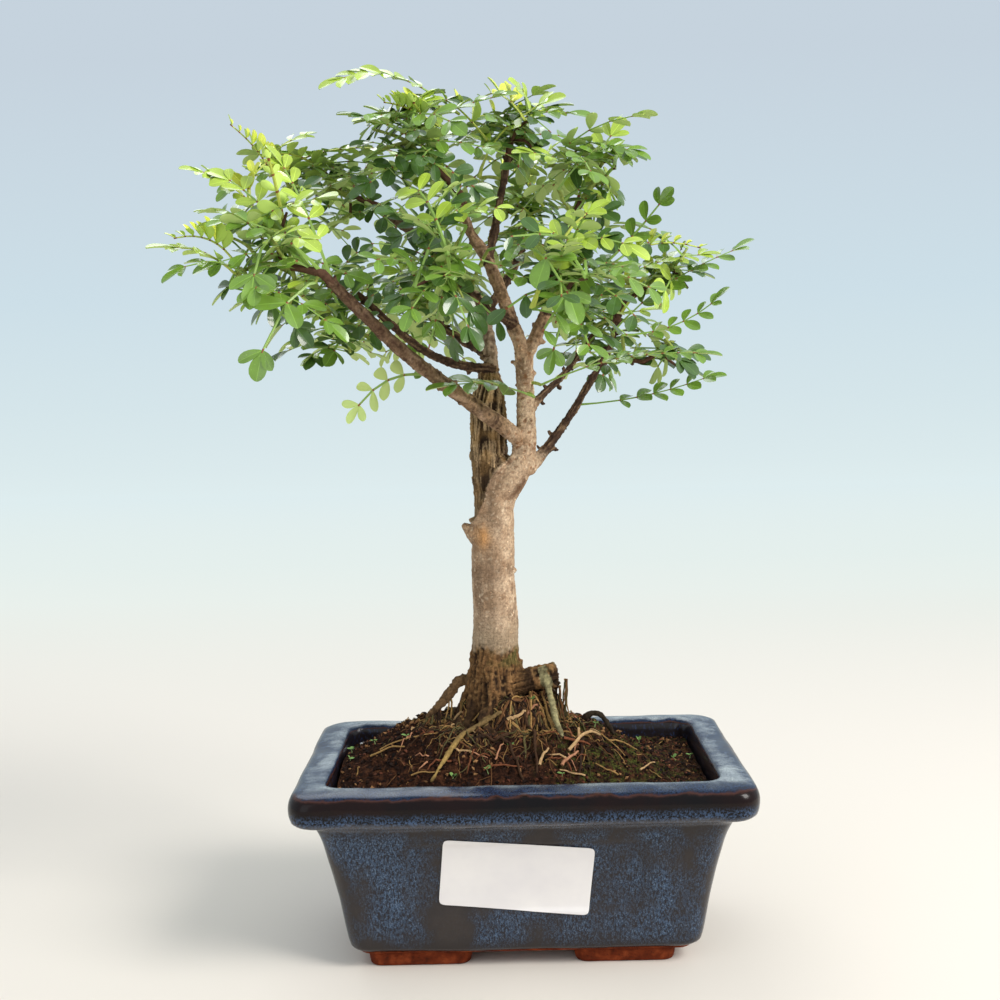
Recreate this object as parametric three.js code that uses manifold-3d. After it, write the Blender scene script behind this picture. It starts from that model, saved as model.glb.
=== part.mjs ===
// A small pepper tree grown as a bonsai, in a glazed clay pot.
// Millimetres, +Z up, -Y is the front. Places are measured from the middle of the pot,
// on the surface that it stands on, and the last lines move the whole to its own middle.

import * as THREE from 'three';
import { mergeVertices } from 'three/addons/utils/BufferGeometryUtils.js';
import Module from 'manifold-3d';

const wasm = await Module();
wasm.setup();

// Driving dimensions: the middle of the whole, seen from above
const WHOLE_MIDDLE_X = -14;
const WHOLE_MIDDLE_Y = 0.5;

// Driving dimensions: pot
const RIM_LENGTH = 153;
const RIM_WIDTH = 103;
const RIM_CORNER = 6.5;
const FOOT_HEIGHT = 4.8;
const POT_UNDERSIDE = 5.75;
const POT_FLOOR = 10.5;
const CORNER_STEPS = 4;
// Pairs: how far in from the rim's outermost edge, and how high above the table.
const POT_OUTSIDE = [
  [20, POT_UNDERSIDE], [18.4, 7.2], [16.8, 11], [14.6, 24], [13.4, 31], [11.8, 38],
  [9.9, 45], [8.1, 50], [6.4, 52.6], [1.6, 54.6], [0.3, 56.8], [0, 60.6], [0.7, 63.2], [2.4, 64.7],
];
const POT_INSIDE = [
  [9.6, 65.5], [11.4, 64.8], [12.2, 62.4], [12.8, 57], [15, 45], [18.4, 30], [21, 16], [25, POT_FLOOR],
];
const DRAIN_RADIUS = 7;
const DRAIN_X = 30;
const DRAIN_SIDES = 12;
const DRAIN_DEPTH = 20;
const FOOT_INNER_X = 17;
const FOOT_OUTER_X = 52.3;
const FOOT_INNER_Y = 17;
const FOOT_OUTER_Y = 31;
const FOOT_TAPER = 1.2;
const FOOT_CORNER = 3;
const FOOT_SINK = 0.5;
const CLAY_INSET = 19.7;
const CLAY_TAPER = 0.6;

// Driving dimensions: blank sticker on the front wall
const LABEL_LENGTH = 49.8;
const LABEL_HEIGHT = 24.3;
const LABEL_CORNER = 2.2;
const LABEL_THICKNESS = 0.35;
const LABEL_X = -2.9;
const LABEL_Z = 33.6;
const LABEL_TURN = -5.4 * Math.PI / 180;

// Driving dimensions: soil
const SOIL_EDGE = 59;
const SOIL_TOP = 76;
const SOIL_FLAT = 19;
const SOIL_REACH = 52;
const SOIL_RINGS = 7;
const SOIL_ROUGHNESS = 1.1;
const SOIL_WALL_HEIGHTS = [16, 30, 45];
const MOUND_SHAPE = [1 / 1.35, 1.1];
const SEAT_GAP = 0.3;

// Driving dimensions: trunk, knob and root flare
const TRUNK_X = -9;
const TRUNK = {
  points: [
    [-9, 0, 74], [-9, 0, 84], [-8.8, 0, 100], [-8.2, 0, 113], [-8.7, 0, 127],
    [-8.6, 0, 140], [-8.4, 0, 150], [-8.2, 0.2, 159.5],
  ],
  radii: [11, 9.6, 8.5, 8, 7.7, 7.6, 7.5, 7.2],
  sides: 12,
  steps: 8,
};
const SHOULDER = {
  points: [[-7, -0.5, 149], [-5.4, -1, 157], [-1, -1.7, 164], [2.9, -2.4, 170.6]],
  radii: [5.6, 5.5, 5.2, 4.5],
  sides: 10,
  steps: 5,
};
const KNOB = {
  points: [[-12, 0, 142.6], [-19.8, -0.4, 147.4]],
  radii: [4.8, 1.7],
  sides: 6,
  steps: 1,
};
const HOLLOW_STUB = {
  points: [[-5, -1, 89], [5, -2.5, 92], [12.6, -4, 93.5]],
  radii: [5.4, 4.4, 4.6],
  sides: 9,
  steps: 4,
};
const STUB_BORE = {
  points: [[8.4, -3.1, 92.7], [14, -4.2, 93.9]],
  radii: [2.7, 2.7],
  sides: 8,
  steps: 1,
};
const FLARE_COUNT = 9;
const FLARE_REACH = [14, 20];
const FLARE_THICKNESS = [2.2, 3.3];
const FLARE_TOP_RADIUS = 6;
const FLARE_RISE = 15;
const ROOT_SIDES = 6;
const ROOT_STEPS = 5;

// Driving dimensions: roots that run out over the soil
const ROOTS = [
  {
    name: 'root_front_right',
    points: [[10.4, -6, 92], [12, -10.6, 84], [13.6, -16, 78], [17.6, -24, 70]],
    radii: [2.1, 1.8, 1.9, 1.3],
  },
  {
    name: 'root_front_left',
    points: [[-8, -14, 80], [-17, -19.6, 78.5], [-22.6, -23.4, 73], [-31.6, -35.6, 60.4]],
    radii: [1.8, 1.6, 1.5, 1.2],
  },
  {
    name: 'root_left_claw',
    points: [[-15, 1, 91], [-21.6, 0.6, 92.6], [-27.6, -2, 85.6], [-33, -4.4, 76.2]],
    radii: [2.4, 2, 1.9, 1.4],
  },
  {
    name: 'root_right_loop',
    points: [[10, 2, 76], [18, 1.2, 78.6], [24.6, 0, 80.4], [31.4, -1, 76.8], [36, -2, 70]],
    radii: [2.2, 1.6, 1.5, 1.5, 1.3],
  },
];

// Driving dimensions: boughs. Each grows out of one that is already named.
const LIMBS = [
  {
    name: 'old_stem',
    from: ['trunk', 'shoulder'],
    points: [[-9.6, 0.8, 158], [-9.5, 1, 168], [-9.4, 2, 178], [-9.2, 3, 188], [-8.6, 3.6, 197]],
    radii: [6.5, 6.9, 6.9, 6.6, 5.4],
    sides: 10,
    steps: 4,
  },
  {
    name: 'right_stem',
    from: ['shoulder'],
    points: [[2.4, -2.3, 169.4], [3.7, -3, 178], [3.8, -3.8, 188], [3.7, -4.3, 198], [3.5, -5, 206.5]],
    radii: [4.5, 3.7, 3.2, 3.1, 3.1],
    sides: 8,
  },
  {
    name: 'crossing_bough',
    from: ['right_stem', 'shoulder', 'old_stem'],
    points: [[2.4, -4.6, 176], [-6, -12.6, 183.4], [-20.3, -22, 194.4], [-34.8, -31, 206.1],
      [-46.7, -39, 217.9], [-57, -45, 229]],
    radii: [3.5, 3, 2.6, 2.3, 2.1, 1.9],
    sides: 6,
  },
  {
    name: 'far_right_bough',
    from: ['right_stem', 'shoulder'],
    points: [[2, -2, 166], [8, 0, 170.2], [17.4, 3.6, 181.6], [27.4, 8, 197], [34.7, 12, 209],
      [37.6, 14.4, 219]],
    radii: [3.1, 2.6, 2.1, 1.9, 1.7, 1.5],
    sides: 6,
  },
  {
    name: 'low_right_twig',
    from: ['far_right_bough'],
    points: [[31.4, 10, 203], [38, 4, 204.4], [42, 0, 203.6]],
    radii: [1.2, 1.1, 1],
    sides: 6,
  },
  {
    name: 'grey_limb',
    from: ['old_stem'],
    points: [[-8.4, 3.6, 196], [-8, 6, 206.3], [-10.6, 11, 222], [-19.3, 19, 237.2],
      [-31, 23, 248], [-45, 24, 259]],
    radii: [2.7, 2.4, 2.2, 2.1, 1.9, 1.7],
    sides: 6,
  },
  {
    name: 'dark_branch',
    from: ['grey_limb', 'old_stem'],
    points: [[-8.4, 4, 201.6], [-20, -1, 203.6], [-32, -3, 209], [-43, -2, 218.4], [-51, 0, 226]],
    radii: [1.9, 1.6, 1.5, 1.4, 1.3],
    sides: 6,
  },
  {
    name: 'inner_left_bough',
    from: ['right_stem'],
    points: [[3.6, -5, 205], [0.4, -8, 215], [-4.6, -10.8, 229], [-9, -12, 239.6],
      [-14, -13, 247.4], [-16, -14, 256]],
    radii: [2.6, 2.5, 2.3, 2.1, 1.7, 1.5],
    sides: 6,
  },
  {
    name: 'top_twig',
    from: ['inner_left_bough'],
    points: [[-8.4, -11.9, 238], [-6, -9.6, 247], [-3, -6, 262], [-0.8, -3.6, 273]],
    radii: [1.6, 1.5, 1.3, 1.2],
    sides: 6,
  },
  {
    name: 'inner_right_bough',
    from: ['right_stem', 'inner_left_bough'],
    points: [[2.6, -4.6, 202.6], [7, -6.6, 211], [12.2, -10.6, 224], [14.7, -14, 236.2],
      [17.6, -15, 245]],
    radii: [2.3, 2.2, 2, 1.9, 1.5],
    sides: 6,
  },
  {
    name: 'front_twig',
    from: ['inner_right_bough'],
    points: [[11.4, -10, 221], [13, -18, 223], [14.4, -27, 226]],
    radii: [1.5, 1.3, 1.2],
    sides: 6,
  },
  {
    name: 'front_left_twig',
    from: ['inner_left_bough'],
    points: [[0, -8.2, 216.4], [-7.4, -17, 221], [-14.6, -26, 226.6]],
    radii: [1.5, 1.3, 1.2],
    sides: 6,
  },
  {
    name: 'back_right_bough',
    from: ['right_stem'],
    points: [[3.8, -3.6, 186], [9.6, 8.6, 191.6], [18, 21, 199], [25.4, 30, 207.6]],
    radii: [2.2, 1.9, 1.7, 1.5],
    sides: 6,
  },
  {
    name: 'back_left_bough',
    from: ['grey_limb'],
    points: [[-8.1, 6, 206], [-12.4, 17, 209], [-20, 29, 213.6], [-27, 37, 219]],
    radii: [1.9, 1.7, 1.5, 1.3],
    sides: 6,
  },
  {
    name: 'back_middle_bough',
    from: ['grey_limb'],
    points: [[-10.2, 10.2, 220], [-5, 21, 229], [0.6, 30, 238], [3.6, 35, 246]],
    radii: [1.8, 1.6, 1.5, 1.3],
    sides: 6,
  },
];
const LIMB_STEPS_PER_SPAN = 2;

// Driving dimensions: masses of leaves. Each fills an egg-shaped space round its middle,
// cut back where a neighbour's space is nearer, and grows on from the tip of its limb.
const MASSES = [
  { name: 'leaves_far_left', limb: 'crossing_bough', middle: [-80, -40, 236], reach: [33, 31, 40] },
  { name: 'leaves_upper_left', limb: 'grey_limb', middle: [-68, 18, 268], reach: [43, 32, 25] },
  { name: 'leaves_low_left', limb: 'dark_branch', middle: [-62, -2, 216], reach: [32, 30, 30] },
  { name: 'leaves_top_left', limb: 'inner_left_bough', middle: [-34, -16, 277], reach: [38, 32, 27] },
  { name: 'leaves_top', limb: 'top_twig', middle: [2, 2, 282], reach: [29, 30, 20] },
  { name: 'leaves_top_right', limb: 'inner_right_bough', middle: [28, -13, 263], reach: [29, 33, 27] },
  { name: 'leaves_right', limb: 'far_right_bough', middle: [57, 10, 236], reach: [31, 33, 27] },
  { name: 'leaves_low_right', limb: 'low_right_twig', middle: [52, -4, 206], reach: [24, 30, 16] },
  { name: 'leaves_front', limb: 'front_twig', middle: [17, -44, 226], reach: [29, 24, 27] },
  { name: 'leaves_front_left', limb: 'front_left_twig', middle: [-22, -41, 234], reach: [27, 24, 30] },
  { name: 'leaves_back_left', limb: 'back_left_bough', middle: [-36, 46, 226], reach: [34, 26, 27] },
  { name: 'leaves_back', limb: 'back_middle_bough', middle: [6, 44, 258], reach: [34, 28, 28] },
  { name: 'leaves_back_right', limb: 'back_right_bough', middle: [34, 43, 217], reach: [32, 27, 27] },
];
const SPACE_GAP = 0.05;
const TARGETS_PER_MASS = 8;
const LEAF_LENGTH = 40;
const LEAF_DROOP = 5;
const LEAF_ROLL = 1.7;
const PETIOLE = 0.3;
const LAST_PAIR = 0.66;
const LAST_LEAFLET = 0.74;
const PAIRS = 2;
const LEAFLET_LENGTH = 17;
const LEAFLET_WIDTH = 11;
const LEAFLET_THICKNESS = 0.9;
const LEAFLET_SPLAY = 1.1;
const ROOT_SINK = 0.1;
const RACHIS_RADIUS = 0.75;
const TWIG_RADIUS = 0.95;
const STEM_STRAIGHT = 4;
const LIMB_CLEARANCE = 0.8;
const TARGET_DEPTHS = { first: 0.97, step: 0.06, last: 0.5 };
const RIB_TESTS = [0.35, 0.6, 0.85];
const SAMPLE_STEP = 1.5;
const GROWTH_SEED = 40311;

// Colours, roughness and metalness
const FINISHES = {
  glaze: { color: 0x1d2a44, roughness: 0.16 },
  clay: { color: 0xa9552f, roughness: 0.85 },
  label: { color: 0xeeeef0, roughness: 0.45 },
  soil: { color: 0x38271c, roughness: 1 },
  bark: { color: 0xb79c80, roughness: 0.85 },
  old_bark: { color: 0x55442f, roughness: 0.95 },
  root: { color: 0x8a6b45, roughness: 0.9 },
  leaf: { color: 0x4f8a35, roughness: 0.4 },
};

const vector = (place) => new THREE.Vector3(...place);

// Seeded random numbers from 0 to 1, the same on every run.
function makeRandom(seed) {
  let state = seed;
  return () => {
    state = (state * 16807) % 2147483647;
    return state / 2147483647;
  };
}

// Solids to join and cut, and back to a three.js geometry.
function toSolid(geometry) {
  const plain = geometry.clone();
  plain.deleteAttribute('normal');
  plain.deleteAttribute('uv');
  const welded = mergeVertices(plain, 1e-5);
  return new wasm.Manifold(new wasm.Mesh({
    numProp: 3,
    vertProperties: new Float32Array(welded.attributes.position.array),
    triVerts: new Uint32Array(welded.index.array),
  }));
}

function toGeometry(solid) {
  const mesh = solid.getMesh();
  const geometry = new THREE.BufferGeometry();
  const positions = new Float32Array(mesh.vertProperties);
  geometry.setAttribute('position', new THREE.BufferAttribute(positions, 3));
  geometry.setIndex(new THREE.BufferAttribute(new Uint32Array(mesh.triVerts), 1));
  geometry.computeVertexNormals();
  return geometry;
}

// Joins solids and keeps the largest body, so that loose scraps and sealed hollows go.
function joinToOneBody(solids) {
  const joined = solids.reduce((sum, solid) => sum.add(solid));
  const bodies = joined.decompose();
  return bodies.reduce((best, body) => (body.volume() > best.volume() ? body : best));
}

// A closed skin over rings of equal length, with a flat cap on the first and last.
function loft(rings) {
  const count = rings[0].length;
  const positions = rings.flat().flatMap((point) => [point.x, point.y, point.z]);
  const index = [];
  for (let ring = 0; ring < rings.length - 1; ring += 1) {
    for (let side = 0; side < count; side += 1) {
      const a = ring * count + side;
      const b = ring * count + (side + 1) % count;
      index.push(a, b, b + count, a, b + count, a + count);
    }
  }
  const last = (rings.length - 1) * count;
  for (let side = 1; side < count - 1; side += 1) {
    index.push(0, side + 1, side);
    index.push(last, last + side, last + side + 1);
  }
  const geometry = new THREE.BufferGeometry();
  geometry.setAttribute('position', new THREE.Float32BufferAttribute(positions, 3));
  geometry.setIndex(index);
  return geometry;
}

// A level ring in the outline of a rectangle with rounded corners.
function roundedRing(halfX, halfY, corner, z, steps = CORNER_STEPS) {
  const ring = [];
  for (let quarter = 0; quarter < 4; quarter += 1) {
    const signX = quarter === 0 || quarter === 3 ? 1 : -1;
    const signY = quarter < 2 ? 1 : -1;
    for (let step = 0; step < steps; step += 1) {
      const angle = (quarter + step / (steps - 1)) * Math.PI / 2;
      const x = signX * (halfX - corner) + corner * Math.cos(angle);
      const y = signY * (halfY - corner) + corner * Math.sin(angle);
      ring.push(new THREE.Vector3(x, y, z));
    }
  }
  return ring;
}

const potRing = ([inset, z]) => roundedRing(RIM_LENGTH / 2 - inset, RIM_WIDTH / 2 - inset, RIM_CORNER, z);

// A round limb along a smooth curve, with a radius for each of its points. Where it is
// grown by an extra size, its two flat ends move outwards by as much.
function limbCurve(limb) {
  return new THREE.CatmullRomCurve3(limb.points.map(vector), false, 'catmullrom', 0.5);
}

function radiusAt(limb, t) {
  const place = Math.min(Math.max(t, 0), 1) * (limb.radii.length - 1);
  const before = Math.min(Math.floor(place), limb.radii.length - 2);
  const share = place - before;
  return limb.radii[before] * (1 - share) + limb.radii[before + 1] * share;
}

function tube(limb, extra = 0) {
  const curve = limbCurve(limb);
  const steps = limb.steps ?? (limb.points.length - 1) * LIMB_STEPS_PER_SPAN;
  const rings = [];
  let across = new THREE.Vector3(0, 1, 0);
  for (let step = 0; step <= steps; step += 1) {
    const t = step / steps;
    const along = curve.getTangent(t);
    const outwards = step === 0 ? -extra : step === steps ? extra : 0;
    const middle = curve.getPoint(t).addScaledVector(along, outwards);
    across = across.clone().addScaledVector(along, -across.dot(along)).normalize();
    const up = along.clone().cross(across);
    const radius = radiusAt(limb, t) + extra;
    const ring = [];
    for (let side = 0; side < limb.sides; side += 1) {
      const angle = side / limb.sides * Math.PI * 2;
      const point = middle.clone().addScaledVector(across, radius * Math.cos(angle));
      ring.push(point.addScaledVector(up, radius * Math.sin(angle)));
    }
    rings.push(ring);
  }
  return loft(rings);
}

// The two drain holes in the pot's floor.
function drill(solid) {
  return [-DRAIN_X, DRAIN_X].reduce((rest, x) => {
    const hole = new THREE.CylinderGeometry(DRAIN_RADIUS, DRAIN_RADIUS, DRAIN_DEPTH, DRAIN_SIDES);
    hole.rotateX(Math.PI / 2);
    hole.translate(x, 0, POT_UNDERSIDE);
    return rest.subtract(toSolid(hole));
  }, solid);
}

// The pot, from its underside up the outside, over the rim and down to the inside floor.
function makePotBody() {
  return toGeometry(drill(toSolid(loft([...POT_OUTSIDE, ...POT_INSIDE].map(potRing)))));
}

// Bare clay under the glaze: a thin plate and four low feet in one piece.
function makeClayBase() {
  const plateRings = [[CLAY_INSET + CLAY_TAPER, FOOT_HEIGHT], [CLAY_INSET, POT_UNDERSIDE]];
  const halfX = (FOOT_OUTER_X - FOOT_INNER_X) / 2;
  const halfY = (FOOT_OUTER_Y - FOOT_INNER_Y) / 2;
  const parts = [drill(toSolid(loft(plateRings.map(potRing))))];
  for (const signX of [-1, 1]) {
    for (const signY of [-1, 1]) {
      const foot = loft([
        roundedRing(halfX - FOOT_TAPER, halfY - FOOT_TAPER, FOOT_CORNER, 0),
        roundedRing(halfX, halfY, FOOT_CORNER, FOOT_HEIGHT + FOOT_SINK),
      ]);
      foot.translate(signX * (FOOT_INNER_X + halfX), signY * (FOOT_INNER_Y + halfY), 0);
      parts.push(toSolid(foot));
    }
  }
  return toGeometry(joinToOneBody(parts));
}

// Blank sticker: a slice of the front wall's own profile, just outside it, cut to outline.
function wallInset(z) {
  const above = POT_OUTSIDE.findIndex((pair) => pair[1] >= z);
  const [insetA, zA] = POT_OUTSIDE[above - 1];
  const [insetB, zB] = POT_OUTSIDE[above];
  return insetA + (insetB - insetA) * (z - zA) / (zB - zA);
}

function makeLabel() {
  const heights = POT_OUTSIDE.map((pair) => pair[1]).filter((z) => Math.abs(z - LABEL_Z) < LABEL_HEIGHT);
  const inner = heights.map((z) => new THREE.Vector2(wallInset(z) - RIM_WIDTH / 2 - SEAT_GAP, z));
  const outer = inner.map((point) => new THREE.Vector2(point.x - LABEL_THICKNESS, point.y));
  const slice = new THREE.ExtrudeGeometry(
    new THREE.Shape([...inner, ...outer.reverse()]),
    { depth: RIM_LENGTH / 2, bevelEnabled: false },
  );
  slice.applyMatrix4(new THREE.Matrix4().set(0, 0, 1, -RIM_LENGTH / 4, 1, 0, 0, 0, 0, 1, 0, 0, 0, 0, 0, 1));
  const cutter = loft([
    roundedRing(LABEL_LENGTH / 2, LABEL_HEIGHT / 2, LABEL_CORNER, 0),
    roundedRing(LABEL_LENGTH / 2, LABEL_HEIGHT / 2, LABEL_CORNER, RIM_WIDTH),
  ]);
  cutter.rotateX(Math.PI / 2);
  cutter.rotateY(-LABEL_TURN);
  cutter.translate(LABEL_X, 0, LABEL_Z);
  return toGeometry(joinToOneBody([toSolid(slice).intersect(toSolid(cutter))]));
}

// Soil: level at the walls, mounded to a flat top where the trunk stands.
function soilHeight(x, y) {
  const away = Math.hypot((x - TRUNK_X) * MOUND_SHAPE[0], y * MOUND_SHAPE[1]);
  const slope = Math.min(Math.max((away - SOIL_FLAT) / (SOIL_REACH - SOIL_FLAT), 0), 1);
  return SOIL_EDGE + (SOIL_TOP - SOIL_EDGE) * (0.5 + 0.5 * Math.cos(Math.PI * slope));
}

function makeSoilSolid(raised = 0) {
  const random = makeRandom(GROWTH_SEED);
  const insetAt = (z) => {
    const above = POT_INSIDE.findIndex((pair) => pair[1] <= z);
    const [insetA, zA] = POT_INSIDE[above - 1];
    const [insetB, zB] = POT_INSIDE[above];
    return insetA + (insetB - insetA) * (z - zA) / (zB - zA) + SEAT_GAP;
  };
  const floor = POT_FLOOR + SEAT_GAP;
  const rings = [potRing([insetAt(floor) + 1, floor])];
  [...SOIL_WALL_HEIGHTS, SOIL_EDGE].forEach((z) => rings.push(potRing([insetAt(z), z])));
  const edge = rings[rings.length - 1];
  for (let ring = 1; ring <= SOIL_RINGS; ring += 1) {
    const inwards = ring / (SOIL_RINGS + 1);
    rings.push(edge.map((point) => {
      const x = TRUNK_X * inwards + point.x * (1 - inwards);
      const y = point.y * (1 - inwards);
      const height = soilHeight(x, y);
      const rough = height < SOIL_TOP - 1 ? (random() - 0.5) * SOIL_ROUGHNESS : 0;
      return new THREE.Vector3(x, y, height + rough);
    }));
  }
  const geometry = loft(rings);
  geometry.translate(0, 0, raised);
  return toSolid(geometry);
}

// Trunk: stem, shoulder of the fork, knob, hollow stub and root flare, cut flat on the soil.
function makeTrunkSolid() {
  const random = makeRandom(GROWTH_SEED + 1);
  const parts = [TRUNK, SHOULDER, KNOB].map((limb) => toSolid(tube(limb)));
  for (let root = 0; root < FLARE_COUNT; root += 1) {
    const angle = (root + 0.5 * random()) / FLARE_COUNT * Math.PI * 2;
    const reach = FLARE_REACH[0] + (FLARE_REACH[1] - FLARE_REACH[0]) * random();
    const thick = FLARE_THICKNESS[0] + (FLARE_THICKNESS[1] - FLARE_THICKNESS[0]) * random();
    const out = (distance, z) => [TRUNK_X + distance * Math.cos(angle), distance * Math.sin(angle), z];
    parts.push(toSolid(tube({
      points: [
        out(1, SOIL_TOP + FLARE_RISE),
        out(reach * 0.42, SOIL_TOP + FLARE_RISE * 0.62),
        out(reach * 0.72, SOIL_TOP + 3),
        out(reach, SOIL_TOP - 1),
      ],
      radii: [FLARE_TOP_RADIUS, thick * 1.7, thick * 1.2, thick],
      sides: 6,
      steps: 3,
    })));
  }
  parts.push(toSolid(tube(HOLLOW_STUB)));
  const below = new THREE.BoxGeometry(RIM_LENGTH, RIM_WIDTH, SOIL_TOP);
  below.translate(0, 0, SOIL_TOP / 2);
  const whole = joinToOneBody(parts).subtract(toSolid(tube(STUB_BORE)));
  return joinToOneBody([whole.subtract(toSolid(below))]);
}

// Cuts a solid clear of others, which are passed already grown by the gap.
function cutClear(solid, others) {
  return joinToOneBody([others.reduce((rest, other) => rest.subtract(other), solid)]);
}

function makeRoots(trunk, soilRaised) {
  const roots = {};
  for (const root of ROOTS) {
    const solid = toSolid(tube({ ...root, sides: ROOT_SIDES, steps: ROOT_STEPS }));
    const shifts = [[SEAT_GAP, 0, 0], [-SEAT_GAP, 0, 0], [0, -SEAT_GAP, 0], [0, SEAT_GAP, 0], [0, 0, SEAT_GAP]];
    const grown = shifts.map((shift) => trunk.translate(shift));
    roots[root.name] = cutClear(solid, [...grown, soilRaised]);
  }
  return roots;
}

function makeLimbs() {
  const grown = { trunk: toSolid(tube(TRUNK, SEAT_GAP)), shoulder: toSolid(tube(SHOULDER, SEAT_GAP)) };
  const solids = {};
  for (const limb of LIMBS) {
    grown[limb.name] = toSolid(tube(limb, SEAT_GAP));
    solids[limb.name] = cutClear(toSolid(tube(limb)), limb.from.map((name) => grown[name]));
  }
  return solids;
}

// How far out a place is in a mass's own space: 0 in the middle and 1 on its skin.
function outness(mass, place) {
  const share = (axis, value) => (value - mass.middle[axis]) / mass.reach[axis];
  return Math.hypot(share(0, place.x), share(1, place.y), share(2, place.z));
}

function isInSpace(mass, place) {
  const own = outness(mass, place);
  return own < 1 && MASSES.every((other) => other === mass || outness(other, place) > own + SPACE_GAP);
}

// Samples of every limb's middle line, with radii, to keep twigs and leaves off them.
const LIMB_SAMPLES = [TRUNK, SHOULDER, ...LIMBS].flatMap((limb) => {
  const curve = limbCurve(limb);
  const count = Math.ceil(curve.getLength() / SAMPLE_STEP);
  return Array.from({ length: count + 1 }, (_, step) => {
    return { place: curve.getPoint(step / count), radius: radiusAt(limb, step / count) };
  });
});

function isClearOfLimbs(place, radius) {
  return LIMB_SAMPLES.every((sample) => {
    return sample.place.distanceTo(place) > sample.radius + radius + LIMB_CLEARANCE;
  });
}

// A curve from one place to another that arches by the given rise, so its end droops.
function arching(start, end, rise) {
  const middle = start.clone().lerp(end, 0.5).add(new THREE.Vector3(0, 0, rise));
  return new THREE.QuadraticBezierCurve3(start, middle, end);
}

function thinTube(curve, startRadius, endRadius, steps) {
  const points = curve.getPoints(steps).map((point) => point.toArray());
  const radii = points.map((_, step) => startRadius + (endRadius - startRadius) * step / steps);
  return toSolid(tube({ points, radii, sides: 3, steps }));
}

// One leaflet: a thin blade of eight faces, its root sunk in the middle rib.
function makeLeaflet(root, along, normal, size) {
  const across = normal.clone().cross(along).normalize();
  const length = LEAFLET_LENGTH * size;
  const wide = root.clone().addScaledVector(along, length * 0.5);
  const half = LEAFLET_WIDTH * size / 2;
  const corners = [
    root.clone().addScaledVector(along, -ROOT_SINK),
    wide.clone().addScaledVector(across, half),
    root.clone().addScaledVector(along, length),
    wide.clone().addScaledVector(across, -half),
    wide.clone().addScaledVector(normal, LEAFLET_THICKNESS / 2),
    wide.clone().addScaledVector(normal, -LEAFLET_THICKNESS / 2),
  ];
  const geometry = new THREE.BufferGeometry();
  geometry.setFromPoints(corners);
  geometry.setIndex([0, 3, 4, 3, 2, 4, 2, 1, 4, 1, 0, 4, 3, 0, 5, 2, 3, 5, 1, 2, 5, 0, 1, 5]);
  return { corners, geometry };
}

// One compound leaf: a rib that droops, pairs of leaflets along it and one at its end.
function makeLeaf(base, tip, random) {
  const curve = arching(base, tip, LEAF_DROOP);
  const size = Math.min(base.distanceTo(tip) / LEAF_LENGTH, 1) * (0.9 + 0.2 * random());
  const roll = (random() - 0.5) * LEAF_ROLL;
  const leaflets = [];
  const addLeaflet = (t, turn) => {
    const along = curve.getTangent(t);
    const side = along.clone().cross(new THREE.Vector3(0, 0, 1)).normalize();
    const normal = side.clone().cross(along).normalize().applyAxisAngle(along, roll);
    const direction = along.clone().applyAxisAngle(normal, turn);
    leaflets.push(makeLeaflet(curve.getPoint(t), direction, normal, size));
  };
  for (let pair = 0; pair < PAIRS; pair += 1) {
    const t = PETIOLE + (LAST_PAIR - PETIOLE) * pair / (PAIRS - 1);
    addLeaflet(t, LEAFLET_SPLAY);
    addLeaflet(t, -LEAFLET_SPLAY);
  }
  addLeaflet(LAST_LEAFLET, 0);
  return { curve, leaflets };
}

// The places that a mass's leaves reach for: even steps over its space, skin first.
function makeTargets(mass, start, random) {
  const middle = vector(mass.middle);
  const reach = vector(mass.reach);
  const targets = [];
  const golden = Math.PI * (3 - Math.sqrt(5));
  for (let step = 0; step < TARGETS_PER_MASS; step += 1) {
    const z = 1 - 2 * (step + 0.5) / TARGETS_PER_MASS;
    const angle = step * golden + random() * 0.4;
    const ring = Math.sqrt(1 - z * z);
    const out = new THREE.Vector3(ring * Math.cos(angle), ring * Math.sin(angle), z);
    let depth = TARGET_DEPTHS.first;
    let place = out.clone().multiply(reach).multiplyScalar(depth).add(middle);
    while (!isInSpace(mass, place) && depth > TARGET_DEPTHS.last) {
      depth -= TARGET_DEPTHS.step;
      place = out.clone().multiply(reach).multiplyScalar(depth).add(middle);
    }
    targets.push(place);
  }
  return targets.sort((a, b) => a.distanceTo(start) - b.distanceTo(start));
}

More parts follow.
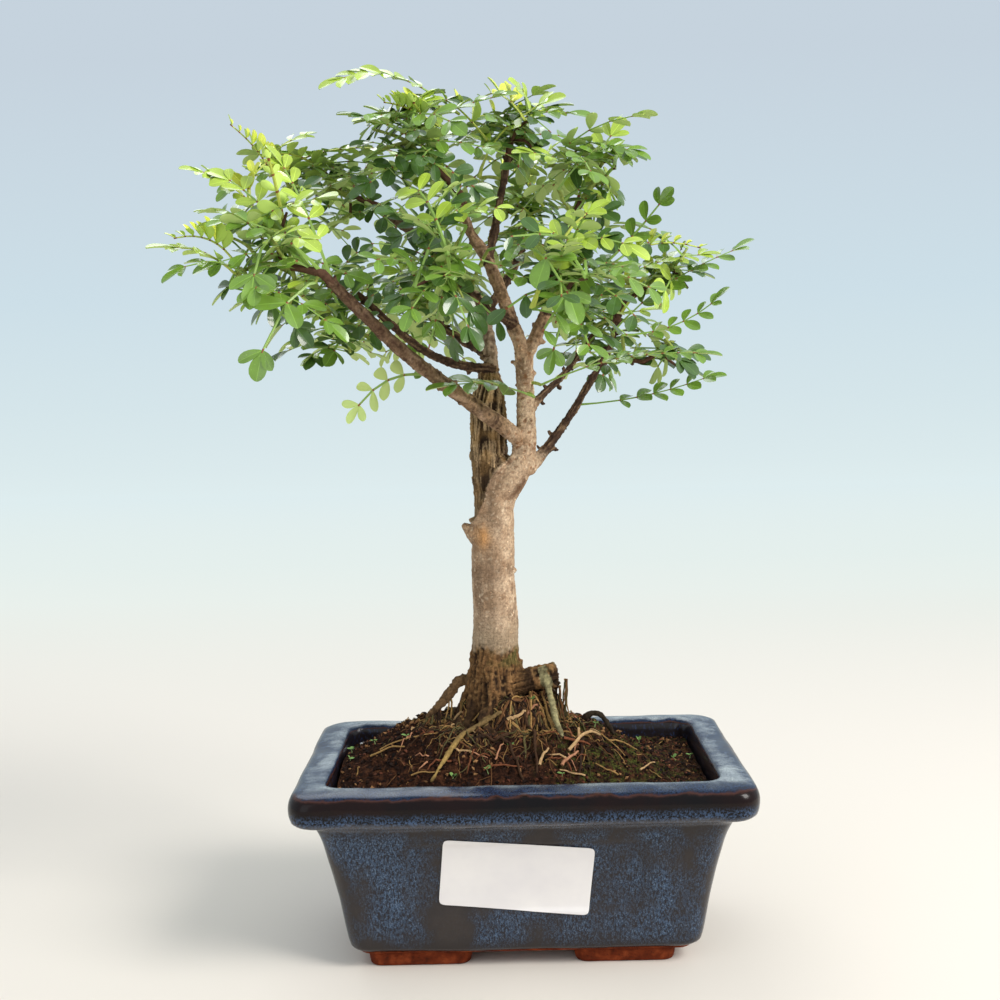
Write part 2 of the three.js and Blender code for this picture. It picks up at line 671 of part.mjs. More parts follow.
// Grows one mass: a stem on from the limb, twigs from the nearest wood, leaves outwards.
function growMass(mass, seed) {
  const random = makeRandom(seed);
  const limb = LIMBS.find((other) => other.name === mass.limb);
  const limbLine = limbCurve(limb);
  const tip = limbLine.getPoint(1);
  const heading = limbLine.getTangent(1);
  const stemRadius = limb.radii[limb.radii.length - 1];
  const start = tip.clone().addScaledVector(heading, SEAT_GAP);
  const bend = start.clone().addScaledVector(heading, STEM_STRAIGHT);
  const middle = vector(mass.middle);
  const wood = [bend, ...arching(bend, middle, 1).getPoints(4).slice(1)];
  const stemPoints = [start, ...wood];
  const steps = stemPoints.length - 1;
  const solids = [toSolid(tube({
    points: stemPoints.map((point) => point.toArray()),
    radii: stemPoints.map((_, step) => stemRadius + (TWIG_RADIUS - stemRadius) * step / steps),
    sides: 5,
    steps,
  }))];
  const accepts = (place, radius) => isInSpace(mass, place) && isClearOfLimbs(place, radius);
  for (const target of makeTargets(mass, start, random)) {
    const from = wood.reduce((best, place) => {
      return place.distanceTo(target) < best.distanceTo(target) ? place : best;
    });
    const gap = from.distanceTo(target);
    const twigShare = Math.max(0, 1 - LEAF_LENGTH / gap);
    const base = from.clone().lerp(target, twigShare);
    const leaf = makeLeaf(base, target, random);
    const leaflets = leaf.leaflets.filter((leaflet) => {
      return leaflet.corners.slice(1).every((corner) => accepts(corner, 0.3));
    });
    const ribIsClear = RIB_TESTS.every((t) => accepts(leaf.curve.getPoint(t), RACHIS_RADIUS));
    if (ribIsClear && leaflets.length > 2) {
      if (twigShare > 0.02) {
        const twig = arching(from, base, 1.5);
        solids.push(thinTube(twig, TWIG_RADIUS, TWIG_RADIUS, 1));
        wood.push(twig.getPoint(0.5), base);
      }
      solids.push(thinTube(leaf.curve, TWIG_RADIUS, RACHIS_RADIUS, 2));
      leaflets.forEach((leaflet) => solids.push(toSolid(leaflet.geometry)));
    }
  }
  return joinToOneBody(solids);
}

// The whole plant and its pot, one named mesh for each piece.
const tree = new THREE.Group();

function addPiece(name, geometry, finish) {
  const material = new THREE.MeshStandardMaterial({ ...FINISHES[finish], metalness: 0 });
  const mesh = new THREE.Mesh(geometry, material);
  mesh.name = name;
  tree.add(mesh);
}

addPiece('pot_body', makePotBody(), 'glaze');
addPiece('clay_base', makeClayBase(), 'clay');
addPiece('blank_label', makeLabel(), 'label');

const soil = makeSoilSolid();
addPiece('soil', toGeometry(soil), 'soil');

const trunk = makeTrunkSolid();
addPiece('trunk', toGeometry(trunk), 'bark');
for (const [name, solid] of Object.entries(makeRoots(trunk, makeSoilSolid(SEAT_GAP)))) {
  addPiece(name, toGeometry(solid), 'root');
}

for (const [name, solid] of Object.entries(makeLimbs())) {
  addPiece(name, toGeometry(solid), name === 'old_stem' ? 'old_bark' : 'bark');
}

MASSES.forEach((mass, order) => {
  addPiece(mass.name, toGeometry(growMass(mass, GROWTH_SEED + 97 * (order + 1))), 'leaf');
});

// The origin is the middle of the whole, on the surface that the feet stand on.
tree.position.set(-WHOLE_MIDDLE_X, -WHOLE_MIDDLE_Y, 0);

export default tree;
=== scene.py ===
# %% [markdown]
# # A small pepper tree grown as a bonsai
# The real object is a living tree about 30 cm tall: a pale stem that forks, a dead stem beside it,
# surface roots that grip a mound of soil, and a glazed clay pot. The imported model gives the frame:
# its sizes and places hold, and each cell below replaces a plain solid by a finer form.
# All sizes are written in millimetres from the middle of the pot, as a potter would measure them.

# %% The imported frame
import math

import bpy
import numpy as np
from mathutils import Matrix, Vector, noise
from mathutils.kdtree import KDTree


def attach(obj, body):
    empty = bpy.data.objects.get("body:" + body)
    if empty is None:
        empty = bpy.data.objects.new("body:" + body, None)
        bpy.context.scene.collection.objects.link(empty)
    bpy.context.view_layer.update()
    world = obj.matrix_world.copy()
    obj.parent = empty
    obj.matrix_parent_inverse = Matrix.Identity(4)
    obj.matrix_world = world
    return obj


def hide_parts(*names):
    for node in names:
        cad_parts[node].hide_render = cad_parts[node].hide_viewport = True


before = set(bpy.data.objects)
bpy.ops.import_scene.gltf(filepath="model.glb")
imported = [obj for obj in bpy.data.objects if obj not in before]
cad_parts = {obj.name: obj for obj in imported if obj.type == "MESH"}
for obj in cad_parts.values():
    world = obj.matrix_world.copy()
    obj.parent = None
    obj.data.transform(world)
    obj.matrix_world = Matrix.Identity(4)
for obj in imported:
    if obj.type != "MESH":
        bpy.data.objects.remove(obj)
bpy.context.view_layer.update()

# %% [markdown]
# ## Sizes and small helpers
# The pot's middle stands 14 mm to the right of the middle of the whole plant, because the crown
# leans to the left. One function turns a maker's millimetres into the scene's metres.

# %% Places, random numbers and clean starts
POT_MIDDLE = Vector((14.0, -0.5, 0.0))


def place(point):
    """Millimetres from the pot's middle, turned to the scene's metres."""
    return (Vector(point) + POT_MIDDLE) / 1000


def make_random(seed):
    """Seeded numbers from 0 to 1, the same on every run."""
    state = seed

    def draw():
        nonlocal state
        state = state * 16807 % 2147483647
        return state / 2147483647

    return draw


def start_fresh():
    """Nothing is selected, so the next operator acts on its own piece alone."""
    if bpy.context.object and bpy.context.object.mode != "OBJECT":
        bpy.ops.object.mode_set(mode="OBJECT")
    bpy.ops.object.select_all(action="DESELECT")


def make_active(piece):
    """The piece alone is selected and active, as the operators want it."""
    start_fresh()
    piece.select_set(True)
    bpy.context.view_layer.objects.active = piece


def apply_modifiers(piece):
    """Every modifier becomes part of the mesh, in the order of the stack."""
    make_active(piece)
    for modifier in list(piece.modifiers):
        bpy.ops.object.modifier_apply(modifier=modifier.name)


def count_triangles(piece):
    """Triangles that the faces make when each is cut from one corner."""
    return sum(len(face.vertices) - 2 for face in piece.data.polygons)


def finish_piece(piece, nodes=()):
    """The piece rides on the plant and stands for its solids, which are hidden, and its triangles are printed."""
    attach(piece, "root")
    if nodes:
        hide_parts(*nodes)
    print(piece.name, "triangles:", count_triangles(piece))


def srgb(red, green, blue):
    """A colour as the eye reads it, 0 to 255, turned to the light values that shaders use."""
    values = [channel / 255 for channel in (red, green, blue)]
    linear = [v / 12.92 if v <= 0.04045 else ((v + 0.055) / 1.055) ** 2.4 for v in values]
    return (*linear, 1.0)


# %% [markdown]
# ## Camera, floor and light
# The camera stands where the pot's rim corners say it did: 466 mm in front of the pot, 196 mm up,
# tipped 5 degrees down and turned by 1.2 degrees about its own axis. The floor is one plain pale
# sheet that sweeps up behind, so no horizon line cuts the trunk, and the light is large and soft.

# %% Camera
EYE, LENS, TIPPED_DOWN, TURNED = (-5.8, -465.6, 196.5), 47.74, 5.01, 1.18
camera = bpy.data.objects.new("camera", bpy.data.cameras.new("camera"))
bpy.context.scene.collection.objects.link(camera)
camera.data.sensor_width = 36
camera.data.lens = LENS
camera.data.clip_start = 0.01
camera.location = place(EYE)
tip_down = Matrix.Rotation(math.radians(90 - TIPPED_DOWN), 4, "X")
turn = Matrix.Rotation(math.radians(-TURNED), 4, "Z")
camera.rotation_euler = (tip_down @ turn).to_euler()
bpy.context.scene.camera = camera

# %% Floor sweep
SWEEP_STEPS, SWEEP_STRIDE, BACKDROP_HEIGHT = 12, 0.11, 2.5
start_fresh()
bpy.ops.mesh.primitive_plane_add(size=4, location=(0, 0, 0))
floor = bpy.context.object
floor.name = "floor"
bpy.ops.object.mode_set(mode="EDIT")
bpy.ops.mesh.select_all(action="DESELECT")
bpy.ops.object.mode_set(mode="OBJECT")
for edge in floor.data.edges:
    edge.select = all(floor.data.vertices[v].co.y > 1 for v in edge.vertices)
bpy.ops.object.mode_set(mode="EDIT")
bpy.ops.mesh.select_mode(type="EDGE")
for step in range(1, SWEEP_STEPS + 1):
    lean = math.radians(90 / SWEEP_STEPS * (step - 0.5))
    move = (0, SWEEP_STRIDE * math.cos(lean), SWEEP_STRIDE * math.sin(lean))
    bpy.ops.mesh.extrude_region_move(TRANSFORM_OT_translate={"value": move})
bpy.ops.mesh.extrude_region_move(TRANSFORM_OT_translate={"value": (0, 0, BACKDROP_HEIGHT)})
bpy.ops.object.mode_set(mode="OBJECT")
bpy.ops.object.shade_smooth()

# %% Light
LIGHT_AIM = Vector((0, 0, 0.15))
world = bpy.data.worlds.new("room")
bpy.context.scene.world = world
world.use_nodes = True
world.node_tree.nodes["Background"].inputs["Color"].default_value = srgb(226, 234, 240)
world.node_tree.nodes["Background"].inputs["Strength"].default_value = 0.82


def add_soft_light(name, where, power, size, colour):
    """A square area light, aimed at the plant."""
    light = bpy.data.lights.new(name, "AREA")
    light.energy, light.size, light.color = power, size, colour
    lamp = bpy.data.objects.new(name, light)
    bpy.context.scene.collection.objects.link(lamp)
    lamp.location = where
    lamp.rotation_euler = (LIGHT_AIM - Vector(where)).to_track_quat("-Z", "Y").to_euler()


add_soft_light("key", (0.95, -0.6, 0.95), 19, 0.6, (1.0, 0.97, 0.93))
add_soft_light("fill", (-0.9, -1.1, 0.5), 2.5, 1.0, (0.95, 0.97, 1.0))
add_soft_light("back", (-0.3, 1.0, 1.1), 5, 0.9, (0.97, 0.98, 1.0))
bpy.context.scene.view_settings.view_transform = "Standard"

# %% [markdown]
# ## How the finishes are built
# Every finish is a small tree of nodes over the principled shader. Patterns read Object
# coordinates, in metres, so a noise of scale 500 has patches of about 2 mm. These helpers
# only save typing: a new shader, a noise, a ramp, a mix of two colours, and a bump.

# %% Node helpers
def new_finish(name, roughness, coat=0.0, coat_roughness=0.1, specular=0.5):
    """A material and its principled shader, with plain values for its gloss."""
    material = bpy.data.materials.new(name)
    material.use_nodes = True
    shader = material.node_tree.nodes["Principled BSDF"]
    shader.inputs["Roughness"].default_value = roughness
    shader.inputs["Coat Weight"].default_value = coat
    shader.inputs["Coat Roughness"].default_value = coat_roughness
    shader.inputs["Specular IOR Level"].default_value = specular
    return material, shader


def add_node(material, kind, **settings):
    """A node, with each setting put on the node itself or on its input."""
    node = material.node_tree.nodes.new(kind)
    for name, value in settings.items():
        if name in ("operation", "blend_type", "data_type", "attribute_name", "feature", "clamp"):
            setattr(node, name, value)
        else:
            node.inputs[name.replace("_", " ")].default_value = value
    return node


def join(material, source, target):
    """A wire from one socket to another."""
    material.node_tree.links.new(source, target)


def coordinates(material, stretch=(1, 1, 1)):
    """Object coordinates in metres, stretched along each axis."""
    where = add_node(material, "ShaderNodeTexCoord")
    mapping = add_node(material, "ShaderNodeMapping")
    mapping.inputs["Scale"].default_value = stretch
    join(material, where.outputs["Object"], mapping.inputs["Vector"])
    return mapping.outputs["Vector"]


def noise_value(material, scale, stretch=(1, 1, 1), detail=4.0, roughness=0.6):
    """A noise from 0 to 1 over the object's coordinates."""
    texture = add_node(material, "ShaderNodeTexNoise", Scale=scale, Detail=detail, Roughness=roughness)
    join(material, coordinates(material, stretch), texture.inputs["Vector"])
    return texture.outputs["Fac"]


def ramp(material, value, stops):
    """Colours or greys dealt out along a value: pairs of place and colour."""
    node = add_node(material, "ShaderNodeValToRGB")
    join(material, value, node.inputs["Fac"])
    elements = node.color_ramp.elements
    while len(elements) < len(stops):
        elements.new(0.5)
    for element, (position, colour) in zip(elements, stops):
        element.position = position
        element.color = colour if isinstance(colour, tuple) else (colour, colour, colour, 1)
    return node.outputs["Color"]


def mix(material, share, first, second, blend="MIX"):
    """Two colours mixed by a share; each is a socket or a plain value."""
    node = material.node_tree.nodes.new("ShaderNodeMix")
    node.data_type = "RGBA"
    node.blend_type = blend
    for source, number in ((share, 0), (first, 6), (second, 7)):
        if isinstance(source, (int, float, tuple)):
            node.inputs[number].default_value = source
        else:
            join(material, source, node.inputs[number])
    return node.outputs[2]


def multiply(material, first, second):
    """One colour darkened or lightened by another."""
    return mix(material, 1.0, first, second, "MULTIPLY")


def noise_ramp(material, scale, stops, stretch=(1, 1, 1), **settings):
    """A noise dealt out at once into colours or shares."""
    return ramp(material, noise_value(material, scale, stretch, **settings), stops)


def attribute(material, name, output="Fac"):
    """A value that the mesh carries at its points."""
    node = add_node(material, "ShaderNodeAttribute", attribute_name=name)
    return node.outputs[output]


def add_bump(material, shader, height, depth_mm, strength=1.0):
    """Relief that is too fine for the mesh."""
    bump = add_node(material, "ShaderNodeBump", Strength=strength, Distance=depth_mm / 1000)
    join(material, height, bump.inputs["Height"])
    join(material, bump.outputs["Normal"], shader.inputs["Normal"])


# %% Floor finish: warm and plain near the pot; further back the floor and its sweep glow, paler and cooler up the sweep, as painted light and no lamp
floor_finish, floor_shader = new_finish("pale_floor", 0.8, specular=0.1)
spread = add_node(floor_finish, "ShaderNodeSeparateXYZ")
join(floor_finish, coordinates(floor_finish, (1, 0.5, 1)), spread.inputs["Vector"])
# From about 6 cm behind the pot the floor's own colour fades towards black while its glow grows: painted light on
# the floor and the backdrop.
floor_glow_share = ramp(floor_finish, spread.outputs["Y"], [(0.03, 0.0), (0.38, 1.0)])
near_tint = mix(floor_finish, floor_glow_share, srgb(225, 218, 208), srgb(8, 8, 8))
flat_tint = ramp(floor_finish, spread.outputs["Y"], [
    (0.1, srgb(244, 241, 233)), (0.3, srgb(233, 238, 232)),
    (0.5, srgb(226, 236, 233)), (0.95, srgb(219, 233, 235))])
rising_tint = ramp(floor_finish, spread.outputs["Z"], [
    (0.0, srgb(219, 233, 235)), (0.16, srgb(212, 228, 233)),
    (0.41, srgb(204, 222, 231)), (1.0, srgb(197, 210, 221))])
risen = ramp(floor_finish, spread.outputs["Z"], [(0.0, 0.0), (0.03, 1.0)])
floor_glow_tint = mix(floor_finish, risen, flat_tint, rising_tint)
join(floor_finish, near_tint, floor_shader.inputs["Base Color"])
join(floor_finish, floor_glow_tint, floor_shader.inputs["Emission Color"])
join(floor_finish, floor_glow_share, floor_shader.inputs["Emission Strength"])
floor.data.materials.append(floor_finish)

# %% [markdown]
# ## The pot
# The real pot is slip-cast: thin walls that flare in a hollow curve to a heavy rolled rim. It could
# be a lathe shape pulled square, but a caster thinks in outlines stacked upwards. So one flat
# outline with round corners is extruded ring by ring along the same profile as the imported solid,
# up the outside, over the rim and down inside. Shallow panels and the small unevenness of a
# hand-finished pot are then pressed into that skin.

# %% Pot profile
RIM_LENGTH, RIM_WIDTH = 154.2, 103.0
POT_OUTSIDE = [
    (19.6, 5.75), (18.0, 6.9), (16.8, 10), (14.6, 24), (13.2, 31), (11.6, 38),
    (9.9, 45), (8.1, 50), (6.4, 52.6), (1.6, 54.6), (0.3, 56.8),
    (0, 60.6), (0.7, 63.2), (2.4, 64.7),
]
POT_INSIDE = [
    (9.6, 65.5), (11.4, 64.8), (12.2, 62.4), (12.8, 57), (15, 45), (18.4, 30), (21, 16), (25, 10.5),
]


def smooth_line(points, spacing):
    """A smooth curve through points of any size, as evenly spaced as the spans allow."""
    points = [np.array(point, float) for point in points]
    ends = [2 * points[0] - points[1], *points, 2 * points[-1] - points[-2]]
    line = []
    for before, a, b, after in zip(ends, ends[1:], ends[2:], ends[3:]):
        steps = max(1, math.ceil(np.linalg.norm(b - a) / spacing))
        for step in range(steps):
            t = step / steps
            slope_a, slope_b = (b - before) / 2, (after - a) / 2
            line.append(
                a + slope_a * t
                + (3 * b - 3 * a - 2 * slope_a - slope_b) * t * t
                + (2 * a - 2 * b + slope_a + slope_b) * t ** 3
            )
    return [*line, points[-1]]


profile = [tuple(point) for point in smooth_line(POT_OUTSIDE + POT_INSIDE, 1.3)]
print("rings in the pot:", len(profile))

# %% Pot outline, extruded ring by ring
start_fresh()
bpy.ops.mesh.primitive_plane_add(size=1, location=(0, 0, 0))
pot = bpy.context.object
pot.name = "glazed_pot"
bpy.ops.object.mode_set(mode="EDIT")
half_x, half_y = RIM_LENGTH / 2 - profile[0][0], RIM_WIDTH / 2 - profile[0][0]
bpy.ops.transform.resize(value=(half_x * 2 / 1000, half_y * 2 / 1000, 1))
bpy.ops.mesh.bevel(offset=0.0058, segments=7, affect="VERTICES")
for axis, cuts in ((0, 46), (1, 26)):
    bpy.ops.object.mode_set(mode="OBJECT")
    for edge in pot.data.edges:
        ends = [pot.data.vertices[v].co for v in edge.vertices]
        edge.select = abs(ends[0][axis] - ends[1][axis]) > 0.02
    for face in pot.data.polygons:
        face.select = False
    bpy.ops.object.mode_set(mode="EDIT")
    bpy.ops.mesh.select_mode(type="EDGE")
    bpy.ops.mesh.subdivide(number_cuts=cuts)
bpy.ops.mesh.select_mode(type="FACE")
bpy.ops.mesh.select_all(action="SELECT")
for (inset_a, z_a), (inset_b, z_b) in zip(profile, profile[1:]):
    bpy.ops.mesh.extrude_region_move(TRANSFORM_OT_translate={"value": (0, 0, (z_b - z_a) / 1000)})
    grow_x = (RIM_LENGTH / 2 - inset_b) / (RIM_LENGTH / 2 - inset_a)
    grow_y = (RIM_WIDTH / 2 - inset_b) / (RIM_WIDTH / 2 - inset_a)
    bpy.ops.transform.resize(value=(grow_x, grow_y, 1), center_override=(0, 0, 0))
print("rings extruded:", len(profile) - 1)

# %% Corners made round, and faces turned outwards
def round_off(x, y, half, corner):
    """A place in a rectangle of half sizes, moved so that the rectangle's corners are round."""
    over = Vector((abs(x) - half[0] + corner, abs(y) - half[1] + corner))
    if over.x > 0 and over.y > 0 and over.length > corner:
        over = over.normalized() * corner
        x = math.copysign(half[0] - corner + over.x, x)
        y = math.copysign(half[1] - corner + over.y, y)
    return x, y


def face_outwards():
    """Every face of the piece in edit mode looks out, and the piece goes back to object mode."""
    bpy.ops.mesh.select_all(action="SELECT")
    bpy.ops.mesh.normals_make_consistent(inside=False)
    bpy.ops.object.mode_set(mode="OBJECT")


face_outwards()
print("pot faces:", len(pot.data.polygons))

# %% Pressed panels, uneven glaze and a slightly wavy rim
PANEL_Z, PANEL_HALF_FRONT, PANEL_HALF_SIDE, PANEL_DEPTH = (20.5, 46.5), 40, 24, 0.75
WALL_TOP = 53


def ease(value, low, high):
    """A smooth step from 0 at the low value to 1 at the high one."""
    share = min(max((value - low) / (high - low), 0), 1)
    return share * share * (3 - 2 * share)


def panel_distance(along, half, z):
    """How far inside a panel's edge a place lies, below zero outside it."""
    corner = 3.0
    dx = abs(along) - half + corner
    dz = abs(z - sum(PANEL_Z) / 2) - (PANEL_Z[1] - PANEL_Z[0]) / 2 + corner
    outside = math.hypot(max(dx, 0), max(dz, 0)) + min(max(dx, dz), 0)
    return corner - outside


first_z = profile[0][1]
bare = pot.data.attributes.new("thin_glaze", "FLOAT", "POINT")
for vertex in pot.data.vertices:
    x, y, z = vertex.co.x * 1000, vertex.co.y * 1000, vertex.co.z * 1000 + first_z
    inset = min(RIM_LENGTH / 2 - abs(x), RIM_WIDTH / 2 - abs(y))
    is_front = RIM_WIDTH / 2 - abs(y) <= RIM_LENGTH / 2 - abs(x)
    edge = panel_distance(x, PANEL_HALF_FRONT, z) if is_front else panel_distance(y, PANEL_HALF_SIDE, z)
    outer_wall = z < WALL_TOP and inset < 21 - (z - 5.75) * 0.14 + 1.5 and inset < 20.5
    wobble = noise.noise(Vector((x, y, z)) / 21) * 0.32 + noise.noise(Vector((x + 80, y, z)) / 9) * 0.12
    thin = 0.0
    if outer_wall:
        wobble -= PANEL_DEPTH * ease(edge, 0, 1.4)
        thin = math.exp(-((edge - 0.6) / 1.3) ** 2) * (0.5 + 0.5 * noise.noise(Vector((x, y, z)) / 7))
        thin += 0.7 * ease(-z, -13, -6.5) + 0.5 * math.exp(-((z - 51.5) / 2.2) ** 2)
    vertex.co += vertex.normal * wobble / 1000
    if z > 62:
        vertex.co.z += noise.noise(Vector((x, y, 3)) / 17) * 0.35 / 1000
    bare.data[vertex.index].value = max(thin, 0)
pot.data.transform(Matrix.Translation(place((0, 0, first_z))))
pot.data.update()

# %% Drain holes in the pot's floor
def cut_drain_holes(piece):
    """Two round holes through the floor of the pot."""
    for x in (-30, 30):
        start_fresh()
        bpy.ops.mesh.primitive_cylinder_add(
            vertices=32, radius=0.007, depth=0.02, location=place((x, 0, 6)))
        drill = bpy.context.object
        cut = piece.modifiers.new("drain", "BOOLEAN")
        cut.operation, cut.solver, cut.object = "DIFFERENCE", "EXACT", drill
        apply_modifiers(piece)
        bpy.data.objects.remove(drill)


cut_drain_holes(pot)
make_active(pot)
bpy.ops.object.shade_smooth_by_angle(angle=math.radians(50))

# %% [markdown]
# ## Glaze
# The real glaze is a dark iron-brown that breaks to cobalt where it lies thick: fine blue specks
# run downwards over a grey-brown ground, the rolled rim has a near-black band with a thin rusty
# line on its arris, and the flat of the lip is a paler slate blue. The zones are heights on the
# pot, so a ramp over the height deals them out, and three noises of different size make the specks.

# %% Glaze finish
glaze, glaze_shader = new_finish("cobalt_glaze", 0.24, coat=0.12, coat_roughness=0.08, specular=0.15)
height_split = add_node(glaze, "ShaderNodeSeparateXYZ")
join(glaze, coordinates(glaze, (1, -10, 10)), height_split.inputs["Vector"])
height = height_split.outputs["Z"]
waver = add_node(glaze, "ShaderNodeMath", operation="MULTIPLY_ADD")
join(glaze, noise_value(glaze, 130, detail=4), waver.inputs[0])
waver.inputs[1].default_value = 0.028
join(glaze, height, waver.inputs[2])
zone = waver.outputs[0]
cloud = noise_value(glaze, 48, (1, 1, 0.6), detail=5)
streak = noise_value(glaze, 1700, (1, 1, 0.42), detail=6, roughness=0.82)
speck = noise_value(glaze, 2600, (1, 1, 0.7), detail=6, roughness=0.85)
ground = ramp(glaze, cloud, [(0.35, srgb(58, 52, 49)), (0.6, srgb(38, 36, 40))])
blue = ramp(glaze, speck, [
    (0.38, srgb(42, 50, 64)), (0.52, srgb(66, 88, 116)), (0.62, srgb(130, 148, 168))])
cloud_share = ramp(glaze, cloud, [(0.42, 0.03), (0.5, 0.42), (0.6, 0.95)])
blue_share = multiply(glaze, cloud_share, ramp(glaze, streak, [(0.46, 0.0), (0.54, 1.0)]))
wall = mix(glaze, blue_share, ground, blue)
thin_share = ramp(glaze, attribute(glaze, "thin_glaze"), [(0.05, 0.0), (0.75, 0.85)])
wall = mix(glaze, thin_share, wall, srgb(48, 43, 42))
grain_share = ramp(glaze, speck, [(0.46, 0.0), (0.58, 1.0)])
nose_speck = noise_value(glaze, 1500, (1, 1, 0.8), detail=5, roughness=0.8)
nose_share = multiply(
    glaze, ramp(glaze, nose_speck, [(0.49, 0.0), (0.54, 1.0)]), ramp(glaze, zone, [(0.566, 1.0), (0.612, 0.25)]))
under_share = ramp(glaze, streak, [(0.48, 0.0), (0.6, 0.7)])
under_nose = mix(glaze, under_share, srgb(74, 70, 70), srgb(96, 112, 134))
nose_blue = mix(glaze, nose_share, srgb(8, 8, 12), srgb(74, 96, 128))
lip = mix(glaze, grain_share, srgb(118, 128, 134), srgb(194, 202, 203))
lip = mix(glaze, ramp(glaze, cloud, [(0.4, 0.55), (0.6, 0.0)]), lip, srgb(70, 82, 102))
front_share = ramp(glaze, height_split.outputs["Y"], [(0.41, 0.0), (0.45, 0.8)])
lip = mix(glaze, front_share, lip, mix(glaze, grain_share, srgb(12, 14, 22), srgb(42, 58, 84)))
top_edge = mix(glaze, grain_share, srgb(14, 16, 26), srgb(48, 70, 106))
maroon = ramp(glaze, cloud, [(0.4, srgb(22, 7, 6)), (0.6, srgb(9, 6, 8))])
RUSTY_LINE = srgb(112, 70, 58)
colour = wall
for stops, next_zone in (
        ([(0.528, 0.0), (0.54, 1.0)], under_nose), ([(0.566, 0.0), (0.582, 1.0)], nose_blue),
        ([(0.6, 0.0), (0.616, 1.0)], maroon), ([(0.652, 0.0), (0.655, 0.6), (0.658, 0.0)], RUSTY_LINE),
        ([(0.656, 0.0), (0.662, 1.0)], top_edge), ([(0.664, 0.0), (0.672, 1.0)], lip)):
    colour = mix(glaze, ramp(glaze, zone, stops), colour, next_zone)
join(glaze, colour, glaze_shader.inputs["Base Color"])
add_bump(glaze, glaze_shader, noise_value(glaze, 420, detail=3), 0.12, 0.6)
pot.data.materials.append(glaze)

inner_glaze, inner_shader = new_finish("inner_glaze", 0.28, coat=0.25, coat_roughness=0.08, specular=0.3)
inner_specks = noise_ramp(
    inner_glaze, 1400, [(0.54, srgb(24, 17, 19)), (0.7, srgb(42, 54, 84))], (1, 1, 0.5), detail=3)
join(inner_glaze, inner_specks, inner_shader.inputs["Base Color"])
pot.data.materials.append(inner_glaze)
middle = place((0, 0, 0))
for face in pot.data.polygons:
    towards = Vector((face.center.x - middle.x, face.center.y - middle.y, 0))
    faces_in = face.normal.dot(towards) < 0
    face.material_index = 1 if faces_in and 0.009 < face.center.z < 0.0635 else 0
finish_piece(pot, ["pot_body"])

# %% [markdown]
# ## Bare clay
# Under the glaze a thin line of terracotta shows, and four low feet. The real feet are strips of
# clay with rounded ends, pressed on by hand. A block with its upright edges bevelled round is the
# natural start, then its lower edge is softened and the whole is made a little uneven.

# %% Clay plate and feet
FOOT_X, FOOT_Y, FOOT_HEIGHT = {-1: (-54.2, -18), 1: (16, 51.4)}, (17, 31), 4.8


def clay_block(name, low, high, corner, shrink):
    """A block between two corners, its upright edges round, its foot drawn in."""
    start_fresh()
    centre = [(a + b) / 2 for a, b in zip(low, high)]
    bpy.ops.mesh.primitive_cube_add(size=1, location=(0, 0, 0))
    block = bpy.context.object
    block.name = name
    bpy.ops.object.mode_set(mode="EDIT")
    bpy.ops.transform.resize(value=[(b - a) / 1000 for a, b in zip(low, high)])
    bpy.ops.mesh.select_all(action="DESELECT")
    bpy.ops.object.mode_set(mode="OBJECT")
    for edge in block.data.edges:
        ends = [block.data.vertices[v].co for v in edge.vertices]
        edge.select = abs(ends[0].z - ends[1].z) > 1e-4
    bpy.ops.object.mode_set(mode="EDIT")
    bpy.ops.mesh.select_mode(type="EDGE")
    bpy.ops.mesh.bevel(offset=corner / 1000, segments=8)
    bpy.ops.object.mode_set(mode="OBJECT")
    for vertex in block.data.vertices:
        if vertex.co.z < 0:
            size = Vector((high[0] - low[0], high[1] - low[1])) / 2000
            vertex.co.x *= 1 - shrink / 1000 / size.x
            vertex.co.y *= 1 - shrink / 1000 / size.y
    soften = block.modifiers.new("soften", "BEVEL")
    soften.width, soften.segments = 0.0007, 2
    soften.limit_method, soften.angle_limit = "ANGLE", 0.9
    finer = block.modifiers.new("finer", "SUBSURF")
    finer.subdivision_type, finer.levels, finer.render_levels = "SIMPLE", 2, 2
    apply_modifiers(block)
    block.data.transform(Matrix.Translation(place(centre)))
    return block


plate = clay_block("bare_clay", (-57.6, -31.9, FOOT_HEIGHT), (57.4, 31.9, 5.9), 6, 0.5)
cut_drain_holes(plate)
blocks = [plate]
for side_x in (-1, 1):
    for side_y in (-1, 1):
        xs, ys = FOOT_X[side_x], sorted(side_y * v for v in FOOT_Y)
        top = FOOT_HEIGHT + 0.3
        blocks.append(clay_block("foot", (xs[0], ys[0], 0), (xs[1], ys[1], top), 4.6, 1.0))
start_fresh()
for block in blocks:
    block.select_set(True)
bpy.context.view_layer.objects.active = plate
bpy.ops.object.join()
for vertex in plate.data.vertices:
    if vertex.co.z > 0.0003:
        where = vertex.co * 1000
        vertex.co.x += noise.noise(where / 5) * 0.00022
        vertex.co.y += noise.noise(where / 5 + Vector((9, 0, 0))) * 0.00022
bpy.ops.object.shade_smooth_by_angle(angle=math.radians(45))

# %% Clay finish
clay, clay_shader = new_finish("bare_clay", 0.85, specular=0.12)
clay_cloud = noise_ramp(
    clay, 260, [(0.3, srgb(64, 24, 10)), (0.5, srgb(104, 42, 18)), (0.72, srgb(140, 66, 34))], detail=5)
clay_dirt = noise_ramp(clay, 1500, [(0.62, 0.0), (0.7, 0.8)], detail=3)
join(clay, mix(clay, clay_dirt, clay_cloud, srgb(38, 24, 18)), clay_shader.inputs["Base Color"])
add_bump(clay, clay_shader, noise_value(clay, 1400, detail=5), 0.25, 0.8)
plate.data.materials.append(clay)
finish_piece(plate, ["clay_base"])

# %% [markdown]
# ## Blank sticker
# A paper sticker lies on the front wall and follows its hollow curve. A flat sheet cannot do that,
# so a fine grid gets round corners, is turned a little as the real one is, and is laid on the wall
# by casting a ray through each of its points. Solidify then gives the paper its thickness.

